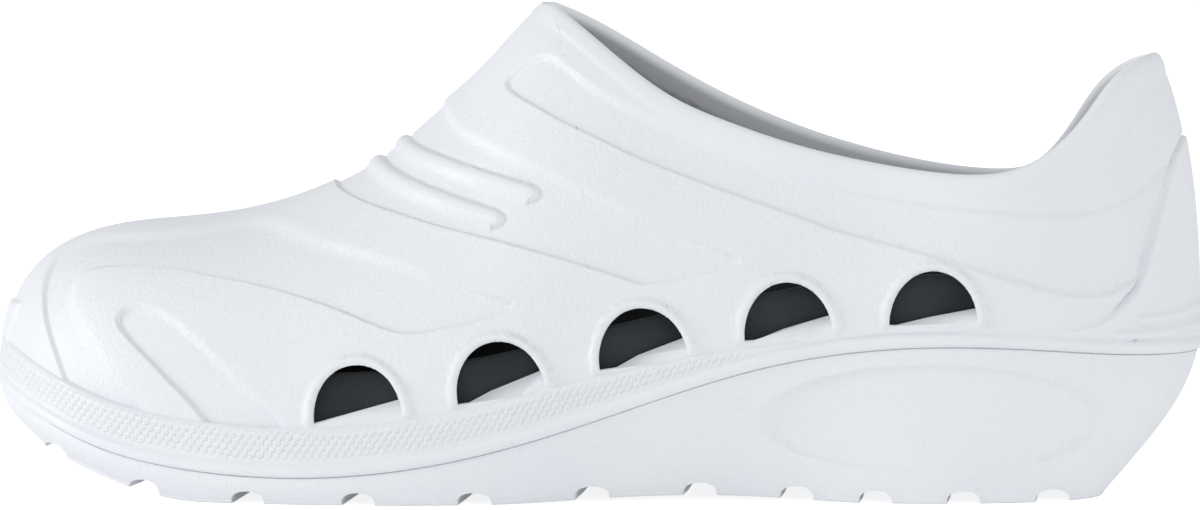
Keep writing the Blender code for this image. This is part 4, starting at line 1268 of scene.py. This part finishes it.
# %% [markdown]
# ## The sole
#
# The sole is one block of foam with a deck inside, a ledge under the upper and a wall that pulls in at the
# waist. It is lofted in rings from the seam down to the tread. The side of the heel carries a shallow oval
# bowl with a crisp lip. The tread is flat under ball and heel and lifts under the toe and the waist. A fine
# groove under the upper is the parting line between the two.

# %% Loft the sole
WALL_STEPS = 66
TREAD_STRIPS = 20
DISH_MIDDLE_SOFT = 0.0018
DISH_LIP = 0.0011
TREAD_ROUND_STEPS = 4
GROOVE_DEPTH = 0.00035
PARTING_GAP = 0.0002


def inset_line(inset, height):
    """Ring a distance inside the seam line, at the heights given."""
    foot = foot_line(ROUND)
    normal = last_normal(ROUND, np.zeros(ALL_COLUMNS))
    normal[:, 2] = 0
    normal /= np.linalg.norm(normal, axis=1, keepdims=True)
    ring = foot - normal * np.broadcast_to(inset, (ALL_COLUMNS,))[:, None]
    ring[:, 2] = height
    return ring


def dish(ring):
    """Depth of the oval bowl in the side of the heel: a crisp lip, then a shallow bowl."""
    along = ring[:, 0] - DISH_MIDDLE * LENGTH
    up = ring[:, 2] - DISH_HEIGHT * SEAM_RISE
    half_length = DISH_HALF_LENGTH * LENGTH
    half_height = DISH_HALF_HEIGHT * SEAM_RISE
    ratio = np.hypot(along / half_length, up / half_height)
    inside = np.hypot(along, up) * (1 / np.maximum(ratio, 1e-6) - 1)
    lip = DISH_LIP * smooth_step(-DISH_MIDDLE_SOFT / 2, DISH_MIDDLE_SOFT / 2, inside)
    return lip + (DISH_DEPTH - DISH_LIP) * np.clip(1 - ratio**2, 0, 1)


def across_grid(ring_points, tread, strips):
    """Grid across a ring, from each outer column to the same inner column, lying on the tread."""
    half = ALL_COLUMNS // 2
    outer = ring_points[1:half]
    inner = ring_points[ALL_COLUMNS - np.arange(1, half)]
    rows = []
    for k in range(strips + 1):
        row = outer + (inner - outer) * k / strips
        if 0 < k < strips:
            row[:, 2] = tread(row[:, 0] / LENGTH)
        rows.append(row)
    return np.array(rows)


def close_across(ring_points, tread, strips):
    """The grid across a ring and the two fans that close it at toe and heel."""
    grid = across_grid(ring_points, tread, strips)
    half = ALL_COLUMNS // 2
    toe = [ring_points[0]] + grid[:, 0].tolist()
    heel = [ring_points[half]] + grid[:, -1].tolist()
    fan = [[0, k, k + 1] for k in range(1, strips + 1)]
    return [(grid, sheet_faces(grid, False)), (toe, fan), (heel, fan)]


seam = seam_height(ROUND) - PARTING_GAP
groove_top = seam + PARTING_GAP * 0.75
deck = inset_line(WALL + FIT_GAP, 0)
deck[:, 2] = deck_height(deck[:, 0] / LENGTH)
ledge_inner = inset_line(WALL + FIT_GAP, groove_top)
groove_floor = inset_line(GROOVE_DEPTH, groove_top)
groove_foot = inset_line(GROOVE_DEPTH - PARTING_GAP / 2, seam)
rings = [deck, ledge_inner, groove_floor, groove_foot]
falls = 0.5 - 0.5 * np.cos(np.linspace(0, math.pi, WALL_STEPS + 1))
falls = 0.5 * falls + 0.5 * np.linspace(0, 1, WALL_STEPS + 1)
for fall in falls:
    inset = middle_inset(ROUND) * 4 * fall * (1 - fall) + ground_inset(ROUND) * fall * (2 * fall - 1)
    ring = inset_line(inset, 0)
    ground = tread_height(ring[:, 0] / LENGTH)
    ring[:, 2] = seam + (ground + TREAD_BEVEL - seam) * fall
    rings.append(ring + (inset_line(inset + dish(ring), 0) - inset_line(inset, 0)))
for k in range(1, TREAD_ROUND_STEPS + 1):
    turned = math.pi / 2 * k / TREAD_ROUND_STEPS
    ring = inset_line(ground_inset(ROUND) + TREAD_BEVEL * (1 - math.cos(turned)), 0)
    ring[:, 2] = tread_height(ring[:, 0] / LENGTH) + TREAD_BEVEL * (1 - math.sin(turned))
    rings.append(ring)
rings = np.array(rings)
sole_points, sole_faces = stack_parts(
    [(rings, sheet_faces(rings, True))]
    + close_across(rings[0], deck_height, TREAD_STRIPS)
    + close_across(rings[-1], tread_height, TREAD_STRIPS)
)
sole = link_object("sole_foam", mesh_of("sole_foam", np.array(sole_points) + shift, sole_faces))
print("sole faces:", len(sole.data.polygons), "open edges:", open_edges(sole.data))

# %% [markdown]
# ## The channels of the tread
#
# The tread is cut into lugs by round-roofed channels that slant back towards the middle of the sole. One
# channel is a plain block with a bevelled roof, made once. It is copied along the sole, each copy lifted to
# the tread above it, and all copies are taken out of the sole together.

# %% Cut the channels
CHANNEL_SIDES = 14
CHANNEL_REACH = BALL_WIDTH * 0.62
CHANNEL_AIM = BALL_WIDTH * 0.42
CHANNEL_FLOOR = -SEAM_RISE / 4
CHANNEL_LINES = 7
CHANNEL_FLARE = 1.12
CHANNEL_BEND = BALL_WIDTH * 0.06


def channel_loops(along):
    """Sections of one channel, from the outer side over the middle to the inner side."""
    loops = []
    for y in np.linspace(-CHANNEL_REACH, CHANNEL_REACH, CHANNEL_LINES):
        bend = math.hypot(y, CHANNEL_BEND)
        middle = along * LENGTH + (CHANNEL_AIM - bend) * math.tan(CHANNEL_SLANT)
        roof = float(tread_height(middle / LENGTH)) + CHANNEL_DEPTH
        half = CHANNEL_WIDTH / 2
        loop = [(middle + half * CHANNEL_FLARE * end, y, CHANNEL_FLOOR) for end in (-1, 1)]
        for k in range(CHANNEL_SIDES + 1):
            turned = math.pi * k / CHANNEL_SIDES
            lift = CHANNEL_DEPTH * (1 - math.sin(turned) ** 0.8) * 0.8
            loop.append((middle + half * math.cos(turned), y, roof - lift))
        loops.append(loop)
    return np.array(loops)


channels = lofts("channels", [channel_loops(along) for along in CHANNELS])
apply_cut(sole, channels)
sole.data.shade_smooth()
sole.data.set_sharp_from_angle(angle=math.radians(38))
print("sole after the channels:", triangles(sole.data), "triangles, open edges:", open_edges(sole.data))

# %% [markdown]
# ## The insole
#
# A dark cupped footbed lies on the deck. Its edge climbs the lining, which is what makes the vents look
# dark from outside. It is lofted from its underside over its rim into the bed, with a rounded rim.

# %% Loft the insole
RIM_ROUND_STEPS = 6
BED_STRIPS = 24
CLEAR = WALL + 2 * FIT_GAP + EDGE_EASE


def lining_ring(height, inset):
    """Ring inside the upper at the heights given, a distance in from the skin of the last."""
    climb = climb_at(ROUND, height)
    ring = last_point(ROUND, climb) - last_normal(ROUND, climb) * inset
    ring[:, 2] = height
    return ring


insole_base = deck_height(inset_line(CLEAR, 0)[:, 0] / LENGTH) + FIT_GAP
under = inset_line(CLEAR + INSOLE_EDGE_THICK, insole_base)
low_edge = inset_line(CLEAR, insole_base + INSOLE_EDGE_THICK)
seat = np.maximum(insole_base, seam_height(ROUND))
insole_rings = [under, low_edge]
for part in np.linspace(0, 1, 7):
    insole_rings.append(lining_ring(np.maximum(seat + INSOLE_RIM * part, low_edge[:, 2] + 1e-4), CLEAR))
rim_height = seat + INSOLE_RIM
for k in range(1, RIM_ROUND_STEPS + 1):
    turned = math.pi * k / RIM_ROUND_STEPS
    side_step = INSOLE_EDGE_THICK / 2 * (1 - math.cos(turned))
    rise = INSOLE_EDGE_THICK * 0.3 * math.sin(turned)
    insole_rings.append(lining_ring(rim_height + rise, CLEAR + side_step))
rim_inner_ring = insole_rings[-1]
bed_ring = inset_line(CLEAR + 4.6 * INSOLE_EDGE_THICK, 0)
bed_ring[:, 2] = deck_height(bed_ring[:, 0] / LENGTH) + FIT_GAP + INSOLE_THICK
knee = lining_ring(seat + INSOLE_THICK + INSOLE_RIM * 0.2, CLEAR + INSOLE_EDGE_THICK + 0.0006)
for part in np.linspace(0, 1, 11)[1:]:
    rest = 1 - part
    insole_rings.append(rim_inner_ring * rest**2 + knee * 2 * rest * part + bed_ring * part**2)
insole_rings = np.array(insole_rings)


def bed_height(along):
    return deck_height(along) + FIT_GAP + INSOLE_THICK


def under_height(along):
    return deck_height(along) + FIT_GAP


insole_points, insole_faces = stack_parts(
    [(insole_rings, sheet_faces(insole_rings, True))]
    + close_across(insole_rings[0], under_height, BED_STRIPS)
    + close_across(insole_rings[-1], bed_height, BED_STRIPS)
)
insole = link_object("footbed", mesh_of("footbed", np.array(insole_points) + shift, insole_faces))
insole.data.shade_smooth()
insole.data.set_sharp_from_angle(angle=math.radians(50))
print("insole:", triangles(insole.data), "triangles, open edges:", open_edges(insole.data))

# %% [markdown]
# ## Shared effects as node groups
#
# A node group is built once and placed in several materials with other values. The first group here is the
# fine leather-like grain of the mould. A Voronoi pattern, squared into domes, gives the small soft pillows
# between tiny valleys, and noise breaks them up. It puts out a height only, so the bump stays in the
# material.

# %% Build the grain and mottle groups
def new_group(name, output, **inputs):
    """A shader node group with one number out, and inputs with their defaults, None for a coordinate."""
    group = bpy.data.node_groups.new(name, "ShaderNodeTree")
    for label, value in inputs.items():
        kind = "NodeSocketVector" if value is None else "NodeSocketFloat"
        socket = group.interface.new_socket(label, in_out="INPUT", socket_type=kind)
        if value is not None:
            socket.default_value = value
    group.interface.new_socket(output, in_out="OUTPUT", socket_type="NodeSocketFloat")
    return group, group.nodes.new("NodeGroupInput").outputs, group.nodes.new("NodeGroupOutput")


def maths(tree, operation, *values):
    """The result of a Math node on sockets or plain numbers."""
    return put(tree, "ShaderNodeMath", dict(enumerate(values)), operation=operation).outputs["Value"]


grain_group, given, grain_out = new_group("moulded grain", "Height", Vector=None, Scale=1400.0, Mask=1.0)
pillows = put(
    grain_group, "ShaderNodeTexVoronoi", {"Vector": given["Vector"], "Scale": given["Scale"]}, feature="F1"
)
breakup = put(grain_group, "ShaderNodeTexNoise", {
    "Vector": given["Vector"],
    "Scale": maths(grain_group, "MULTIPLY", given["Scale"], 0.8),
    "Detail": 1.0,
    "Roughness": 0.6,
})
domes = maths(grain_group, "POWER", pillows.outputs["Distance"], 2.0)
mixed = maths(grain_group, "SUBTRACT", breakup.outputs["Fac"], domes)
feed(grain_group, grain_out, {"Height": maths(grain_group, "MULTIPLY", mixed, given["Mask"])})

mottle_group, given, mottle_out = new_group(
    "soft mottle", "Value", Vector=None, Scale=30.0, Low=0.0, High=1.0
)
clouds = put(mottle_group, "ShaderNodeTexNoise", {
    "Vector": given["Vector"], "Scale": given["Scale"], "Detail": 1.0,
})
spread = put(mottle_group, "ShaderNodeMapRange", {
    "Value": clouds.outputs["Fac"],
    "From Min": 0.3,
    "From Max": 0.7,
    "To Min": given["Low"],
    "To Max": given["High"],
})
feed(mottle_group, mottle_out, {"Value": spread.outputs["Result"]})
print("node groups:", grain_group.name, "and", mottle_group.name)

# %% [markdown]
# The welt band has rows of short slanted dashes, each row shifted by half a dash against the next, like a
# basket weave. The run along the seam and the rise above it are attributes of the upper, so the rows follow
# the band round the whole shoe. Inside each cell a soft box makes one dash.

# %% Build the weave group
DASH_LENGTH = 0.0019
DASH_ROW = 0.00138
DASH_LEAN = 0.6

DASH_ACROSS = (0.08, 0.36)
DASH_ALONG = (0.22, 0.46)

weave_group, given, weave_out = new_group("welt weave", "Height", Run=0.0, Rise=0.0, Mask=1.0)


def sum_of(operation, *values):
    return maths(weave_group, operation, *values)


def soft_box(value, inner, outer):
    """1 in the middle of a cell and 0 near its edge."""
    return put(weave_group, "ShaderNodeMapRange", {
        "Value": sum_of("ABSOLUTE", value),
        "From Min": inner,
        "From Max": outer,
        "To Min": 1.0,
        "To Max": 0.0,
    }, interpolation_type="SMOOTHSTEP").outputs["Result"]


rows_up = sum_of("DIVIDE", given["Rise"], DASH_ROW)
half_shift = sum_of("MULTIPLY", sum_of("FLOOR", rows_up), 0.5)
in_row = sum_of("SUBTRACT", sum_of("FRACT", rows_up), 0.5)
along_row = sum_of("ADD", sum_of("DIVIDE", given["Run"], DASH_LENGTH), half_shift)
in_dash = sum_of("SUBTRACT", sum_of("FRACT", along_row), 0.5)
leaning = sum_of("ADD", in_row, sum_of("MULTIPLY", in_dash, DASH_LEAN))
dash = sum_of("MULTIPLY", soft_box(leaning, *DASH_ACROSS), soft_box(in_dash, *DASH_ALONG))
feed(weave_group, weave_out, {"Height": sum_of("MULTIPLY", dash, given["Mask"])})
print("node groups:", [group.name for group in bpy.data.node_groups])

# %% [markdown]
# ## The foam
#
# The foam is a cool white with a soft, slightly waxy gloss. Its colour hardly changes, but its gloss does:
# it changes in soft clouds. On the lining, below its white lip, the white is mixed to a dark grey, which is
# painted shade for the shade deep inside the shoe. Grain, pebbles and weave are added up as heights in
# metres before one bump.

# %% Mix the foam materials
FOAM_COLOUR = (0.805, 0.817, 0.838, 1.0)
FOAM_SHADE = (0.775, 0.79, 0.82, 1.0)
# Painted shade: a dark grey for the shade deep inside the shoe, put into the colour of the white foam lining
LINING_PAINTED_SHADE = (0.30, 0.31, 0.32, 1.0)
GRAIN_SCALE = 1250.0
GRAIN_BUMP = 0.00010
PEBBLE_SCALE = 420.0
PEBBLE_BUMP = 0.00045
WEAVE_BUMP = 0.00020
TINT_SCALE = 24.0
GLOSS_SCALE = 60.0
GLOSS_RANGE = (0.38, 0.5)
FOAM_SPECULAR = 0.42


def attribute_value(tree, name):
    return put(tree, "ShaderNodeAttribute", attribute_name=name).outputs["Fac"]


def mottled(tree, where, scale, low=0.0, high=1.0):
    feeds = {"Vector": where, "Scale": scale, "Low": low, "High": high}
    return put(tree, "ShaderNodeGroup", feeds, node_tree=mottle_group).outputs["Value"]


def grain_height(tree, where, scale, mask=1.0):
    feeds = {"Vector": where, "Scale": scale, "Mask": mask}
    return put(tree, "ShaderNodeGroup", feeds, node_tree=grain_group).outputs["Height"]


def blend(tree, factor, first, second):
    """A mix of two colours, each a socket or a plain colour."""
    feeds = {"Factor": factor, "A": first, "B": second}
    return put(tree, "ShaderNodeMix", feeds, data_type="RGBA").outputs["Result"]


def add_bump(tree, shader, *heights):
    """One bump of a shader from pairs of a height and its size in metres, added up."""
    sized = [maths(tree, "MULTIPLY", height, size) for height, size in heights]
    total = sized[0]
    for one in sized[1:]:
        total = maths(tree, "ADD", total, one)
    bump = put(tree, "ShaderNodeBump", {"Height": total, "Distance": 1.0})
    feed(tree, shader, {"Normal": bump.outputs["Normal"]})


def foam_base(name):
    """A foam material, its tree, its shader, its Object coordinates and its white."""
    material, tree, shader = new_material(name)
    where = put(tree, "ShaderNodeTexCoord").outputs["Object"]
    white = blend(tree, mottled(tree, where, TINT_SCALE), FOAM_SHADE, FOAM_COLOUR)
    gloss = mottled(tree, where, GLOSS_SCALE, *GLOSS_RANGE)
    feed(tree, shader, {"Base Color": white, "Roughness": gloss, "Specular IOR Level": FOAM_SPECULAR})
    return material, tree, shader, where, white


upper_foam, tree, shader, where, white = foam_base("upper foam")
off_tunnel = maths(tree, "SUBTRACT", 1.0, attribute_value(tree, "tunnel"))
# Mask of the pebbles and of the painted shade: the lining below its white lip, without the faces of the vents
pebbles_and_painted_shade = maths(tree, "MULTIPLY", attribute_value(tree, "pebbles_and_painted_shade"), off_tunnel)
feed(tree, shader, {"Base Color": blend(tree, pebbles_and_painted_shade, white, LINING_PAINTED_SHADE)})
weave_names = {"Run": "run", "Rise": "rise", "Mask": "weave"}
weave_feeds = {label: attribute_value(tree, name) for label, name in weave_names.items()}
weave = put(tree, "ShaderNodeGroup", weave_feeds, node_tree=weave_group)
add_bump(
    tree,
    shader,
    (grain_height(tree, where, GRAIN_SCALE, attribute_value(tree, "grain")), GRAIN_BUMP),
    (grain_height(tree, where, PEBBLE_SCALE, pebbles_and_painted_shade), PEBBLE_BUMP),
    (weave.outputs["Height"], WEAVE_BUMP),
)

sole_foam, tree, shader, where, _ = foam_base("sole foam")
add_bump(tree, shader, (grain_height(tree, where, GRAIN_SCALE), GRAIN_BUMP))
print("foam materials:", upper_foam.name, sole_foam.name)

# %% [markdown]
# ## The footbed's cloth-like rubber
#
# The footbed is a dark charcoal, dull and finely pitted. A little sheen stands for the short nap on it.

# %% Mix the footbed material
FOOTBED_SCALE = 900.0
FOOTBED_BUMP = 0.00012
FOOTBED_TINT_SCALE = 90.0
FOOTBED_DARK = (0.018, 0.022, 0.024, 1)
FOOTBED_LIGHT = (0.030, 0.034, 0.037, 1)

footbed, tree, shader = new_material("footbed")
where = put(tree, "ShaderNodeTexCoord").outputs["Object"]
charcoal = blend(tree, mottled(tree, where, FOOTBED_TINT_SCALE), FOOTBED_DARK, FOOTBED_LIGHT)
feed(tree, shader, {
    "Base Color": charcoal, "Roughness": 0.75, "Specular IOR Level": 0.3, "Sheen Weight": 0.15,
})
add_bump(tree, shader, (grain_height(tree, where, FOOTBED_SCALE), FOOTBED_BUMP))
print("footbed material:", footbed.name)

# %% [markdown]
# ## Ride, replace and finish
#
# Each detailed piece takes the place of its plain solid and moves with it. The shoe has no joints, so all
# three ride on the one body.

# %% Hand the pieces to the frame
PIECES = [(upper, upper_foam, "upper"), (sole, sole_foam, "sole"), (insole, footbed, "insole")]
for piece, material, node in PIECES:
    piece.data.materials.clear()
    piece.data.materials.append(material)
    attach(piece, "root")
    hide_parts(node)

print("triangles:", {piece.name: triangles(piece.data) for piece in (upper, sole, insole)})
